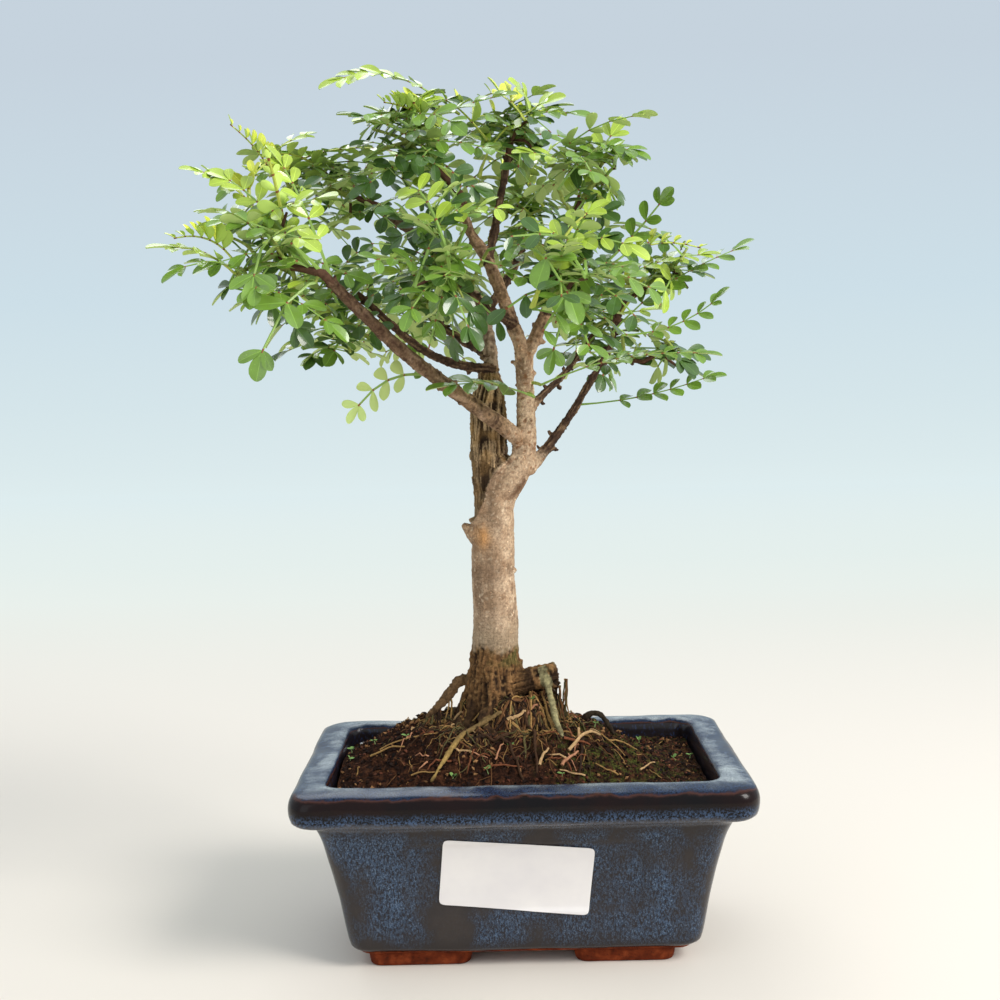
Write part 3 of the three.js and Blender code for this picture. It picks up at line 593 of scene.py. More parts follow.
# %% Sticker laid on the wall
LABEL_SIZE, LABEL_CORNER, LABEL_MIDDLE, LABEL_TURN = (50.6, 24.9), 2.4, (-2.9, 33.6), -5.4
start_fresh()
bpy.ops.mesh.primitive_grid_add(x_subdivisions=100, y_subdivisions=50, size=1, location=(0, 0, 0))
sticker = bpy.context.object
sticker.name = "blank_sticker"
label_turn = Matrix.Rotation(math.radians(LABEL_TURN), 2)
half = [size / 2 for size in LABEL_SIZE]
for vertex in sticker.data.vertices:
    x, y = vertex.co.x * LABEL_SIZE[0], vertex.co.y * LABEL_SIZE[1]
    flat = label_turn @ Vector(round_off(x, y, half, LABEL_CORNER))
    start = place((flat.x + LABEL_MIDDLE[0], -90, flat.y + LABEL_MIDDLE[1]))
    vertex.co = pot.ray_cast(start, Vector((0, 1, 0)))[1] - Vector((0, 0.00035, 0))
paper_thickness = sticker.modifiers.new("paper", "SOLIDIFY")
paper_thickness.thickness, paper_thickness.offset = 0.0002, 0
relax = sticker.modifiers.new("relax", "SMOOTH")
relax.iterations, relax.factor = 8, 0.5
apply_modifiers(sticker)
make_active(sticker)
bpy.ops.object.mode_set(mode="EDIT")
face_outwards()
bpy.ops.object.shade_smooth_by_angle(angle=math.radians(40))

# %% Sticker finish
paper, paper_shader = new_finish("sticker_paper", 0.42, coat=0.15, coat_roughness=0.25)
paper_tint = noise_ramp(paper, 60, [(0.35, srgb(236, 232, 230)), (0.65, srgb(228, 224, 224))], detail=3)
join(paper, paper_tint, paper_shader.inputs["Base Color"])
add_bump(paper, paper_shader, noise_value(paper, 2500, detail=2), 0.02, 0.4)
sticker.data.materials.append(paper)
finish_piece(sticker, ["blank_label"])

# %% [markdown]
# ## The limbs' middle lines
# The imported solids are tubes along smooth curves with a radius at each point. The same points
# are written here again, because the bark's mesh, the twigs and the leaves all grow from them.

# %% Trunk, boughs and roots as points and radii
WOOD = {
    "trunk": (
        [(-9, 0, 74), (-9, 0, 84), (-8.8, 0, 100), (-8.2, 0, 113), (-8.7, 0, 127), (-8.6, 0, 140),
         (-8.4, 0, 150), (-8.2, 0.2, 159.5)],
        [11, 9.6, 8.5, 8, 7.7, 7.6, 7.5, 7.2]),
    "shoulder": (
        [(-7, -0.5, 149), (-5.4, -1, 157), (-1, -1.7, 164), (2.9, -2.4, 170.6)],
        [5.6, 5.5, 5.2, 4.5]),
    "knob": (
        [(-12, -0.4, 141.8), (-15.8, -0.8, 144.6), (-18.6, -1, 147)],
        [4.8, 2.9, 1.1]),
    "hollow_stub": (
        [(-5, -1, 89), (5, -2.5, 92), (12.6, -4, 93.5)],
        [5.4, 4.4, 4.6]),
    "old_stem": (
        [(-9.6, 0.8, 158), (-9.5, 1, 168), (-9.4, 2, 178), (-9.2, 3, 188), (-8.6, 3.6, 197)],
        [6.5, 6.9, 6.9, 6.6, 5.4]),
    "right_stem": (
        [(2.4, -2.3, 169.4), (3.7, -3, 178), (3.8, -3.8, 188), (3.7, -4.3, 198), (3.5, -5, 206.5)],
        [4.5, 3.7, 3.2, 3.1, 3.1]),
    "crossing_bough": (
        [(3.2, -3.2, 175.6), (-5.6, -10, 182.9), (-20.3, -22, 194.4), (-34.8, -31, 206.1),
         (-46.7, -39, 217.9), (-57, -45, 229)],
        [2.9, 2.8, 2.5, 2.2, 2.0, 1.8]),
    "far_right_bough": (
        [(2, -2, 166), (8, 0, 170.2), (17.4, 3.6, 181.6), (27.4, 8, 197), (34.7, 12, 209),
         (37.6, 14.4, 219)],
        [3.1, 2.6, 2.1, 1.9, 1.7, 1.5]),
    "low_right_twig": (
        [(31.4, 10, 203), (38, 4, 204.4), (42, 0, 203.6)],
        [1.1, 0.9, 0.8]),
    "grey_limb": (
        [(-8.4, 3.6, 196), (-8, 6, 206.3), (-10.6, 11, 222), (-19.3, 19, 237.2), (-31, 23, 248),
         (-45, 24, 259)],
        [2.7, 2.4, 2.2, 2.1, 1.9, 1.7]),
    "dark_branch": (
        [(-8.4, 4, 201.6), (-20, -1, 203.6), (-32, -3, 209), (-43, -2, 218.4), (-51, 0, 226)],
        [1.9, 1.6, 1.5, 1.4, 1.3]),
    "inner_left_bough": (
        [(3.6, -5, 205), (0.4, -8, 215), (-4.6, -10.8, 229), (-9, -12, 239.6), (-14, -13, 247.4),
         (-16, -14, 256)],
        [2.6, 2.5, 2.3, 2.1, 1.7, 1.5]),
    "top_twig": (
        [(-8.4, -11.9, 238), (-6, -9.6, 247), (-3, -6, 262), (-0.8, -3.6, 273)],
        [1.6, 1.5, 1.3, 1.2]),
    "inner_right_bough": (
        [(2.6, -4.6, 202.6), (7, -6.6, 211), (12.2, -10.6, 224), (14.7, -14, 236.2), (17.6, -15, 245)],
        [2.3, 2.2, 2, 1.9, 1.5]),
    "front_twig": (
        [(11.4, -10, 221), (13, -18, 223), (14.4, -27, 226)],
        [1.5, 1.3, 1.2]),
    "front_left_twig": (
        [(0, -8.2, 216.4), (-7.4, -17, 221), (-14.6, -26, 226.6)],
        [1.5, 1.3, 1.2]),
    "back_right_bough": (
        [(3.8, -3.6, 186), (9.6, 8.6, 191.6), (18, 21, 199), (25.4, 30, 207.6)],
        [2.2, 1.9, 1.7, 1.5]),
    "back_left_bough": (
        [(-8.1, 6, 206), (-12.4, 17, 209), (-20, 29, 213.6), (-27, 37, 219)],
        [1.9, 1.7, 1.5, 1.3]),
    "back_middle_bough": (
        [(-10.2, 10.2, 220), (-5, 21, 229), (0.6, 30, 238), (3.6, 35, 246)],
        [1.8, 1.6, 1.5, 1.3]),
    "root_front_right": (
        [(8.4, -5, 95), (10.2, -9.6, 88.6), (11.6, -13, 82), (14, -16.6, 74)],
        [1.4, 1.15, 1.2, 0.9]),
    "root_front_left": (
        [(-7, -13.4, 83), (-17.6, -17.6, 77.9), (-21, -20.8, 76.4), (-25, -26.4, 72.4), (-30.6, -34, 65.2)],
        [0.75, 0.85, 0.95, 0.95, 0.5]),
    "root_left_claw": (
        [(-15, 1, 90), (-21.2, -0.6, 91.4), (-27, -2.4, 85), (-33.4, -3.6, 79.4)],
        [2.3, 1.9, 1.7, 0.9]),
    "root_right_loop": (
        [(14, 2, 72), (20.4, 1, 74.6), (24.8, 0, 78.2), (29, -0.4, 77.6), (33, -1.4, 71)],
        [1.3, 1.1, 1.15, 1.1, 0.9]),
}
GROWTH_SEED, TRUNK_X, SOIL_TOP = 40311, -9, 76


def limb_line(name, spacing=1.2):
    """Evenly spaced places along a limb, each with its radius."""
    points, radii = WOOD[name]
    line = smooth_line([(*point, radius) for point, radius in zip(points, radii)], spacing)
    return [(Vector(row[:3]), float(row[3])) for row in line]


def ahead_at(line, step):
    """Direction of a line of places, each with its radius, at one of its steps."""
    return (line[min(step + 1, len(line) - 1)][0] - line[max(step - 1, 0)][0]).normalized()


def limb_tip(name):
    """Where a limb ends, where it heads, and its radius there."""
    points, radii = WOOD[name]
    end, before = Vector(points[-1]), Vector(points[-2])
    ahead = 2 * end - before
    return end, ((ahead - before) / 2).normalized(), radii[-1]


print("limbs:", len(WOOD))

# %% [markdown]
# ## Trunk, boughs and surface roots in one skin
# On the real tree the bark runs without a break from root to bough, with collars where limbs part.
# Separate tubes would show a hard crease at each joint. So each limb is a round curve with its
# own radii, with spur stubs and root ridges added by a seeded rule, all are turned to meshes and
# joined, and a voxel remesh melts them into one skin whose points can be pushed in and out.

# %% Limbs as round curves
woody = []


def add_limb_curve(name, line, ends_rounded=True):
    """A curve through places in millimetres, as thick as their radii."""
    curve = bpy.data.curves.new(name, "CURVE")
    curve.dimensions = "3D"
    curve.bevel_depth, curve.bevel_resolution, curve.use_fill_caps = 0.001, 4, True
    if ends_rounded:
        (first, first_radius), (last, last_radius) = line[0], line[-1]
        before = first + (first - line[1][0]).normalized() * first_radius * 0.6
        after = last + (last - line[-2][0]).normalized() * last_radius * 0.6
        line = [(before, first_radius * 0.6), *line, (after, last_radius * 0.6)]
    spline = curve.splines.new("POLY")
    spline.points.add(len(line) - 1)
    for point, (where, radius) in zip(spline.points, line):
        point.co = (*place(where), 1)
        point.radius = radius
    piece = bpy.data.objects.new(name, curve)
    bpy.context.scene.collection.objects.link(piece)
    woody.append(piece)


bark_samples = []
for name in WOOD:
    line = limb_line(name)
    add_limb_curve(name, line, ends_rounded=name not in ("trunk", "shoulder", "hollow_stub"))
    walked = 0.0
    for step, (where, radius) in enumerate(line):
        if step:
            walked += (where - line[step - 1][0]).length
        bark_samples.append((where, radius, name, walked, ahead_at(line, step)))
print("middle-line samples:", len(bark_samples))

# %% Root flare, collars, spur stubs and torn splinters
FLARE_ROOTS = 27


def sideways(ahead, angle, lean):
    """A direction at an angle round a limb, leaning ahead by a share."""
    return (ahead.orthogonal().normalized() @ Matrix.Rotation(angle, 3, ahead) + ahead * lean).normalized()


random = make_random(GROWTH_SEED + 1)
for root in range(FLARE_ROOTS):
    angle = (root + 0.8 * random()) / FLARE_ROOTS * math.tau
    reach, thick = 11 + 8 * random(), 0.9 + 1.2 * random()
    sway, top = (random() - 0.5) * 1.5, 4 + 13 * random()
    line = []
    for step in range(9):
        out = step / 8
        turn_angle = angle + sway * out * out + 0.2 * math.sin(out * 7 + root)
        distance = 7.0 + (reach - 7.0) * out ** 1.2
        height = SOIL_TOP - 1.5 + (6 + top) * (1 - out) ** 1.6 + random() * 0.8
        where = Vector((TRUNK_X + distance * math.cos(turn_angle), distance * math.sin(turn_angle), height))
        line.append((where, thick * (1.5 - 0.7 * out) * (0.85 + 0.3 * random())))
    add_limb_curve("flare", line)
STEMS = ("trunk", "shoulder", "knob", "old_stem")
for name in WOOD:
    if name in STEMS or name == "hollow_stub" or name.startswith("root"):
        continue
    line = limb_line(name, 1.0)
    at = 5 + 3 * random()
    side = random() * math.tau
    while at < len(line) - 2:
        where, radius = line[int(at)]
        ahead = (line[int(at) + 1][0] - where).normalized()
        side += 2.4 + random()
        out = sideways(ahead, side, 0.3 + 0.6 * random())
        length = radius + 0.5 + 1.5 * random() ** 2
        add_limb_curve("spur", [
            (where, radius * 0.66), (where + out * length * 0.7, 0.85), (where + out * length, 0.55)])
        at += 3 + 5 * random()
    end, radius = line[-1]
    heading = (end - line[-3][0]).normalized()
    for _ in range(5):
        side += 1.3
        out = sideways(heading, side, random())
        start = end - heading * (1.6 * random())
        add_limb_curve("spur", [
            (start, radius * 0.8), (start + out * (radius + 0.3), 0.8), (start + out * (radius + 0.9), 0.5)])
KNOTS = [
    ((3.4, -4.6, 174.6), 2.9), ((-7.4, -1, 169.6), 6.4), ((3.6, -1.4, 167.4), 4.0),
    ((-1.6, -1.6, 130.6), 1.2), ((4.6, -6.2, 200), 1.6)]
for where, radius in KNOTS:
    where = Vector(where)
    add_limb_curve("knot", [(where, radius), (where + Vector((0.4, -0.3, 0.6)), radius * 0.9)])
TORN_TOP = [
    (-11.4, 1.2, 196, 2.6, 201.4), (-6.2, 2, 196, 2.8, 200),
    (-8.6, 6.4, 195, 2.8, 202), (-12.6, 4.6, 194, 2, 198.6)]
for x, y, z, radius, top in TORN_TOP:
    splinter = [(Vector((x, y, z - 3)), radius), (Vector((x - 0.3, y, top)), radius * 0.35)]
    add_limb_curve("splinter", splinter, False)
print("woody curves:", len(woody))

# %% One skin by voxel remesh
VOXEL = 0.00044
start_fresh()
for piece in woody:
    piece.select_set(True)
bpy.context.view_layer.objects.active = woody[0]
bpy.ops.object.convert(target="MESH")
bpy.ops.object.join()
tree = bpy.context.object
tree.name = "bark"
melt = tree.modifiers.new("melt", "REMESH")
melt.mode, melt.voxel_size, melt.use_smooth_shade = "VOXEL", VOXEL, True
settle = tree.modifiers.new("settle", "SMOOTH")
settle.iterations, settle.factor = 4, 0.5
apply_modifiers(tree)
print("bark points:", len(tree.data.vertices))

# %% Hollow of the broken stub
start_fresh()
bpy.ops.mesh.primitive_cone_add(vertices=24, radius1=0.0008, radius2=0.0029, depth=0.009, location=(0, 0, 0))
bore = bpy.context.object
along = Vector((7.6, -1.5, 1.5)).normalized().to_track_quat("Z", "Y").to_matrix().to_4x4()
bore.data.transform(Matrix.Translation(place((10.9, -3.7, 93.3))) @ along)
cut = tree.modifiers.new("hollow", "BOOLEAN")
cut.operation, cut.solver, cut.object = "DIFFERENCE", "EXACT", bore
apply_modifiers(tree)
bpy.data.objects.remove(bore)

# %% [markdown]
# ## Bark relief and its colours
# Live bark on the trunk is thin and pale, with fine cross wrinkles and small corky dots. The dead
# stem is furrowed lengthwise, and the live bark rolls over its foot in a smooth lip. The root crown
# is fibrous and mossy. Each point knows the nearest middle line, so the relief can run along the
# limb or round it, and the same knowledge deals out the colour that the bark has there, along with
# painted shade low on the dead stem, in the fork's crease, on the broken stub and in its hollow.

# %% Relief and colour at every point
LIP = [
    (-30, 158), (-17, 152.6), (-15.4, 148.2), (-13.4, 151), (-11.4, 156), (-10.2, 161.5),
    (-8, 166), (-4.8, 169), (-0.6, 171.6), (3, 230)]


def index_of(names):
    """A quick search for the nearest middle line among some limbs."""
    index = KDTree(len(bark_samples))
    for number, sample in enumerate(bark_samples):
        if sample[2] in names:
            index.insert(sample[0], number)
    index.balance()
    return index


tree_index, stem_index = index_of(WOOD), index_of((*STEMS, "right_stem"))


def lip_height(x):
    """Height of the live bark's upper edge where it rolls over the dead stem."""
    for (x_a, z_a), (x_b, z_b) in zip(LIP, LIP[1:]):
        if x_a <= x < x_b:
            return z_a + (z_b - z_a) * (x - x_a) / (x_b - x_a)
    return 300


def ridged(where):
    """A noise with sharp crests, 1 at a crest."""
    return 1 - abs(noise.noise(where)) * 2


def blend_colour(first, second, share):
    """A colour between two, kept within them."""
    share = min(max(share, 0), 1)
    return [a + (b - a) * share for a, b in zip(first, second)]


PALE, TAN, RUST = srgb(196, 170, 142), srgb(158, 128, 100), srgb(126, 88, 60)
DEAD_DARK, DEAD_RIDGE, OCHRE = srgb(50, 37, 26), srgb(198, 168, 128), srgb(170, 134, 86)
CORK, DUSK, GREY = srgb(150, 122, 94), srgb(84, 64, 50), srgb(158, 138, 116)
CROWN, MOSS, CROWN_DARK = srgb(118, 86, 54), srgb(80, 82, 42), srgb(42, 29, 20)
ROOT_TINTS = {
    "root_front_left": srgb(158, 130, 76), "root_front_right": srgb(150, 142, 104),
    "root_right_loop": srgb(48, 40, 30), "root_left_claw": srgb(104, 80, 54)}
TWIG_BARK, CORKY_RIDGE = srgb(50, 37, 32), srgb(182, 154, 128)
OLD_TWIG, ROOT_FOOT, SHADED = srgb(66, 44, 36), srgb(104, 84, 56), srgb(84, 64, 48)
MIDDLE_GREY, OCHRE_SCAR, MIDDLE_SCAR = srgb(122, 102, 82), srgb(198, 142, 84), srgb(120, 96, 76)
FORK_CREASE_SHADE, FOOT_GREY, CROWN_OCHRE = srgb(92, 64, 46), srgb(150, 132, 108), srgb(166, 128, 84)
STUB_TOP, HOLLOW_SHADE = srgb(120, 108, 80), srgb(20, 14, 10)
CLOUDY, FLECK, CORK_DOT = srgb(128, 104, 82), srgb(118, 92, 72), srgb(216, 194, 166)


def layered(tone, *layers):
    """A colour under further ones, each laid on by its share."""
    for colour_above, share in layers:
        tone = blend_colour(tone, colour_above, share)
    return tone


def live_bark(spot, lumps, broad, dots, rusty):
    """Thin pale bark: soft cloudy patches, corky pale dots, brown scales where it is old."""
    cloud = ease(noise.noise(spot / 5.5 + Vector((0, 7, 0))), 0.12, 0.5)
    flecks = ease(noise.noise(spot / 0.9 + Vector((2, 7, 0))), 0.1, 0.4)
    scales = ease(noise.noise(spot / 1.5 + Vector((0, 7, 3))), 0.2, 0.45)
    return layered(
        PALE, (TAN, 0.45 + 0.8 * lumps + 0.6 * broad), (CLOUDY, 0.7 * cloud), (FLECK, 0.5 * flecks),
        (RUST, (0.25 + 0.6 * rusty) * scales), (CORK_DOT, 0.6 * ease(dots, 0.34, 0.5)))


HOLLOW, HOLLOW_RADIUS = Vector((13.0, -7, 92.6)), 2.3
BOUGH_TINTS = {"crossing_bough": CORK, "grey_limb": GREY, "inner_left_bough": TAN, "inner_right_bough": TAN}
FROM_LIVE_STEM = (
    "crossing_bough", "far_right_bough", "inner_left_bough", "inner_right_bough", "back_right_bough")
moves = np.zeros((len(tree.data.vertices), 3))
tone_values = np.ones((len(tree.data.vertices), 4))
for vertex in tree.data.vertices:
    spot = vertex.co * 1000 - POT_MIDDLE
    centre, number, gap = tree_index.find(spot)
    centre, radius, name, walked, ahead = bark_samples[number]
    if gap > radius + 0.9 and name not in STEMS and name != "right_stem" and spot.z < 214:
        _, number, stem_gap = min(
            stem_index.find_n(spot, 12), key=lambda found: found[2] - bark_samples[found[1]][1])
        if stem_gap < bark_samples[number][1] + 3 or spot.z < 110:
            centre, radius, name, walked, ahead = bark_samples[number]
    x, y, z = spot
    across = ahead.cross(Vector((0, 1, 0)) if abs(ahead.z) > 0.7 else Vector((0, 0, 1))).normalized()
    offset = spot - centre
    angle = math.atan2(offset.dot(ahead.cross(across)), offset.dot(across))
    around = Vector((math.cos(angle), math.sin(angle), 0))
    dots = noise.noise(spot / 1.1)
    lumps = noise.noise(spot / 4.2 + Vector((5, 0, 0)))
    broad = noise.noise(spot / 9)
    on_stem = name in STEMS
    edge = z - lip_height(x) if y < 3 else z - max(lip_height(x), 157 + 4 * math.sin(x))
    if on_stem and edge > 0 and z > 147:
        grain = Vector((angle * radius / 1.5, walked / 13, name == "trunk"))
        fissure = ridged(grain) * 0.7 + ridged(grain * 2.3) * 0.4
        push = -1.0 * ease(edge, 0, 1.0) * (1 if z < 170 else 0.45) + (fissure - 0.72) * 1.5
        tone = layered(
            DEAD_DARK, (DEAD_RIDGE, (fissure - 0.55) * 1.9 + 0.2 * dots), (OCHRE, 0.5 * ease(lumps, -0.1, 0.5)),
            (SHADED, 0.35 * ease(-z + 2 * lumps, -176, -166) * (y < 2)))
    elif on_stem or name == "right_stem":
        rusty = 1.0 if name == "right_stem" else ease(z, 160, 176)
        wrinkle = noise.noise(Vector((around.x * 1.3, around.y * 1.3, z / 0.9))) * 0.14
        push = wrinkle + 0.2 * lumps + 0.18 * broad + 0.16 * max(dots, 0) ** 2
        push += 1.0 * math.exp(-((edge + 0.6) / 0.8) ** 2) * (148 < z < 178 and x < 1.5 and y < 3)
        push += rusty * 0.35 * max(noise.noise(spot / 1.6), 0)
        greyed = math.exp(-((x + 9.5) / 3.4) ** 2) * ease(z + 5 * lumps, 104, 114)
        ochre_scar = math.exp(-(Vector((x + 12, (z - 143.5) * 0.6)).length / 2.4) ** 2)
        scar = math.exp(-(math.hypot(x + 9, z - 130.5) / 3.0) ** 2)
        # A dark band along the underside of the collar, where the boughs part from the trunk: painted shade in
        # the fork's crease.
        crease = math.exp(-((x - 1.5 - 0.8 * (z - 161)) / 1.5) ** 2) * ease(-abs(z - 161), -6, -3)
        tone = layered(
            live_bark(spot, lumps, broad, dots, rusty),
            (MIDDLE_GREY, 0.5 * greyed * (y < 0)), (OCHRE_SCAR, 0.75 * ochre_scar * (y < 0)),
            (MIDDLE_SCAR, 0.7 * scar * (y < 0)), (FORK_CREASE_SHADE, 0.85 * crease * (y < 3)),
            (FOOT_GREY, 0.7 * ease(-z + 3 * lumps, -118, -106)))
    elif name.startswith("root"):
        knobbly = 1.9 if name == "root_left_claw" else 1
        push = (0.3 * lumps + 0.3 * dots) * knobbly
        push += 0.15 * noise.noise(Vector((around.x * 2, around.y * 2, walked / 4)))
        tone = layered(
            ROOT_TINTS[name], (CROWN_DARK, 0.15 + 0.8 * lumps + 0.5 * dots),
            (ROOT_FOOT, 0.8 * ease(-walked + 3 * lumps, -24, -10) * (name == "root_front_left")))
    else:
        corky = name in BOUGH_TINTS
        ridge = noise.noise(Vector((around.x * 1.9, around.y * 1.9, walked / 4.5)))
        scar = noise.noise(Vector((around.x * 0.6, around.y * 0.6, walked / 0.8)))
        push = 0.22 * lumps + 0.26 * dots + 0.34 * ridge + 0.16 * scar
        if name in ("far_right_bough", "back_right_bough", "low_right_twig"):
            thinner = 0.45 if name == "low_right_twig" else 0.6 * ease(walked, 3, 12)
            push -= thinner * ease(radius + 0.4 - gap, 0, 0.25)
        tone = layered(
            BOUGH_TINTS.get(name, DUSK),
            (DUSK if corky else TWIG_BARK, 0.3 + 0.75 * dots - 0.8 * ridge + 0.3 * scar),
            (CORKY_RIDGE if corky else CORK, 0.6 * ease(ridge + 0.5 * lumps, 0.15, 0.5)),
            (OLD_TWIG, 0.65 * ease(walked, 34, 74) + (0.3 if gap > radius + 0.5 else 0)))
        if name in FROM_LIVE_STEM:
            tone = blend_colour(live_bark(spot, lumps, broad, dots, 1.0), tone, ease(walked + 2 * dots, 5, 13))
    if z < 108 and (on_stem or name == "hollow_stub"):
        share = ease(-z - 2.6 * lumps - 1.6 * dots, -106, -101.6)
        fibre = ridged(Vector((around.x * 5, around.y * 5, z / 10))) * 0.6
        fibre += 0.4 * ridged(Vector((around.x * 11, around.y * 11, z / 7)))
        push = push * (1 - share) + share * ((fibre - 0.5) * 1.1 + 0.5 * dots + 0.6 * lumps)
        mossy = ease(noise.noise(spot / 3.6 + Vector((3, 3, 3))) + 0.03 * (x + 9), 0.08, 0.4)
        mossy *= ease(z + 2 * lumps, 95, 101) * (0.25 + 0.75 * ease(x, -9, -3))
        crown = layered(
            CROWN_DARK, (CROWN, fibre * 1.5 - 0.25 + 0.6 * dots), (MOSS, 0.7 * mossy),
            (CROWN_OCHRE, 0.45 * ease(noise.noise(spot / 1.3), 0.15, 0.4)),
            (CROWN_DARK, 0.8 * ease(-z + 4 * lumps, -91, -80)))
        # Below its top the stub's outer part is painted in the crown's darkest tone: painted shade, as the stub
        # lies in shade.
        if name == "hollow_stub":
            crown = layered(
                crown, (CROWN_DARK, 0.85 * ease(-z + 2.5 * lumps, -97.4, -94) * ease(x, -2, 3)),
                (STUB_TOP, 0.7 * ease(z, 95.5, 98)))
        tone = blend_colour(tone, crown, share)
    # The bored hollow of the stub is pushed in and also painted near-black: painted shade inside the hole.
    pit = math.exp(-(math.hypot(x - HOLLOW.x, z - HOLLOW.z) / HOLLOW_RADIUS) ** 4) if y < -3 and x > 9 else 0
    tone, push = blend_colour(tone, HOLLOW_SHADE, 0.95 * pit), push - 1.6 * pit
    moves[vertex.index] = vertex.normal * push / 1000
    tone_values[vertex.index, :3] = tone[:3]
for vertex in tree.data.vertices:
    vertex.co += Vector(moves[vertex.index])
tones = tree.data.color_attributes.new("bark_tone", "FLOAT_COLOR", "POINT")
tones.data.foreach_set("color", tone_values.ravel())
tree.data.update()
make_active(tree)
bpy.ops.object.shade_smooth()

# %% Bark finish
bark, bark_shader = new_finish("bark", 0.85, specular=0.12)
fine = noise_ramp(bark, 1500, [(0.32, 0.6), (0.5, 1.0), (0.7, 1.32)], detail=5, roughness=0.7)
fibrous = noise_ramp(bark, 1300, [(0.35, 0.86), (0.65, 1.12)], (1, 1, 0.3), detail=3)
tone = multiply(bark, multiply(bark, attribute(bark, "bark_tone", "Color"), fine), fibrous)
cork_dots = add_node(bark, "ShaderNodeTexVoronoi", Scale=520, Randomness=1.0)
join(bark, coordinates(bark, (1, 1, 1.3)), cork_dots.inputs["Vector"])
dot_share = ramp(bark, cork_dots.outputs["Distance"], [(0.14, 0.95), (0.26, 0.0)])
dot_share = multiply(bark, dot_share, noise_ramp(bark, 150, [(0.46, 0.0), (0.56, 1.0)], detail=2))
dotted = mix(bark, dot_share, tone, multiply(bark, tone, (1.5, 1.46, 1.4, 1)))
join(bark, dotted, bark_shader.inputs["Base Color"])
grit = noise_value(bark, 1100, (1, 1, 1.6), detail=6, roughness=0.7)
cross_wrinkles = noise_value(bark, 420, (1, 1, 4.5), detail=4)
relief = mix(bark, 0.45, grit, cross_wrinkles)
add_bump(bark, bark_shader, mix(bark, 0.3, relief, dot_share), 0.45, 0.9)
tree.data.materials.append(bark)
finish_piece(tree, [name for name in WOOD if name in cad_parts])

# %% [markdown]
# ## Soil
# The mound is dark, coarse and fibrous. A grid is the plain way to get enough points: its outline
# is drawn to the inside of the pot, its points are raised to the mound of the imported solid, three
# sizes of noise make clods, and the edge is extruded down so that no gap shows at the wall.

# %% Soil surface
SOIL_EDGE, SOIL_FLAT, SOIL_REACH = 59.0, 19.0, 52.0
SOIL_HALF, SOIL_CORNER = (63.6, 38.6), 5


def mound(x, y):
    """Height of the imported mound, with the tight heap of roots and soil round the trunk's foot."""
    away = math.hypot((x - TRUNK_X) / 1.35, y * 1.1)
    slope = min(max((away - SOIL_FLAT) / (SOIL_REACH - SOIL_FLAT), 0), 1)
    height = SOIL_EDGE + (SOIL_TOP - SOIL_EDGE) * (0.5 + 0.5 * math.cos(math.pi * slope))
    uneven = 0.13 * noise.noise(Vector((x, y, 9)) / 6)
    heap = 1 - ease(math.hypot((x + 3.5) / 20.5, y / 15) + uneven, 0.66, 1.04)
    return height + 10.5 * heap


def clods(x, y):
    """Height that three sizes of lumps add to the mound."""
    where = Vector((x, y, 0))
    rough = noise.noise(where / 7) * 1.2 + noise.noise(where / 2.6 + Vector((4, 0, 0))) * 1.1
    rough += abs(noise.noise(where / 1.25)) * 1.2 - 0.4
    return rough * (0.6 + 0.7 * ease(mound(x, y), 60, 74))


def soil_height(x, y):
    """Height of the finished soil at a place."""
    return mound(x, y) + clods(x, y)


start_fresh()
bpy.ops.mesh.primitive_grid_add(x_subdivisions=230, y_subdivisions=140, size=1, location=(0, 0, 0))
soil = bpy.context.object
soil.name = "potting_soil"
for vertex in soil.data.vertices:
    x, y = vertex.co.x * 2 * SOIL_HALF[0], vertex.co.y * 2 * SOIL_HALF[1]
    x, y = round_off(x, y, SOIL_HALF, SOIL_CORNER)
    vertex.co = place((x, y, soil_height(x, y)))
make_active(soil)
bpy.ops.object.mode_set(mode="EDIT")
bpy.ops.mesh.select_mode(type="EDGE")
bpy.ops.mesh.select_all(action="SELECT")
bpy.ops.mesh.region_to_loop()
bpy.ops.mesh.extrude_region_move(TRANSFORM_OT_translate={"value": (0, 0, -0.008)})
bpy.ops.transform.resize(value=(0.97, 0.97, 0), center_override=place((0, 0, 50)))
bpy.ops.mesh.edge_face_add()
face_outwards()
bpy.ops.object.shade_smooth_by_angle(angle=math.radians(60))

# %% Soil finish, with moss on the right front
earth, earth_shader = new_finish("potting_soil", 0.95, specular=0.08)
clump = noise_ramp(earth, 420, [
    (0.3, srgb(16, 9, 7)), (0.48, srgb(44, 26, 18)), (0.6, srgb(78, 48, 32)), (0.74, srgb(118, 80, 52)),
], detail=6, roughness=0.75)
position = add_node(earth, "ShaderNodeSeparateXYZ")
join(earth, coordinates(earth), position.inputs["Vector"])
right_side = ramp(earth, position.outputs["X"], [(0.016, 0.0), (0.03, 1.0), (0.066, 1.0), (0.074, 0.4)])
moss_noise = noise_ramp(earth, 190, [(0.48, 0.0), (0.6, 0.85)], detail=5, roughness=0.7)
moss_share = multiply(earth, right_side, moss_noise)
moss_tint = noise_ramp(earth, 1600, [(0.4, srgb(38, 40, 18)), (0.62, srgb(92, 98, 44))], detail=3)
join(earth, mix(earth, moss_share, clump, moss_tint), earth_shader.inputs["Base Color"])
add_bump(earth, earth_shader, noise_value(earth, 900, detail=8, roughness=0.8), 0.9, 1.0)
soil.data.materials.append(earth)
finish_piece(soil, ["soil"])
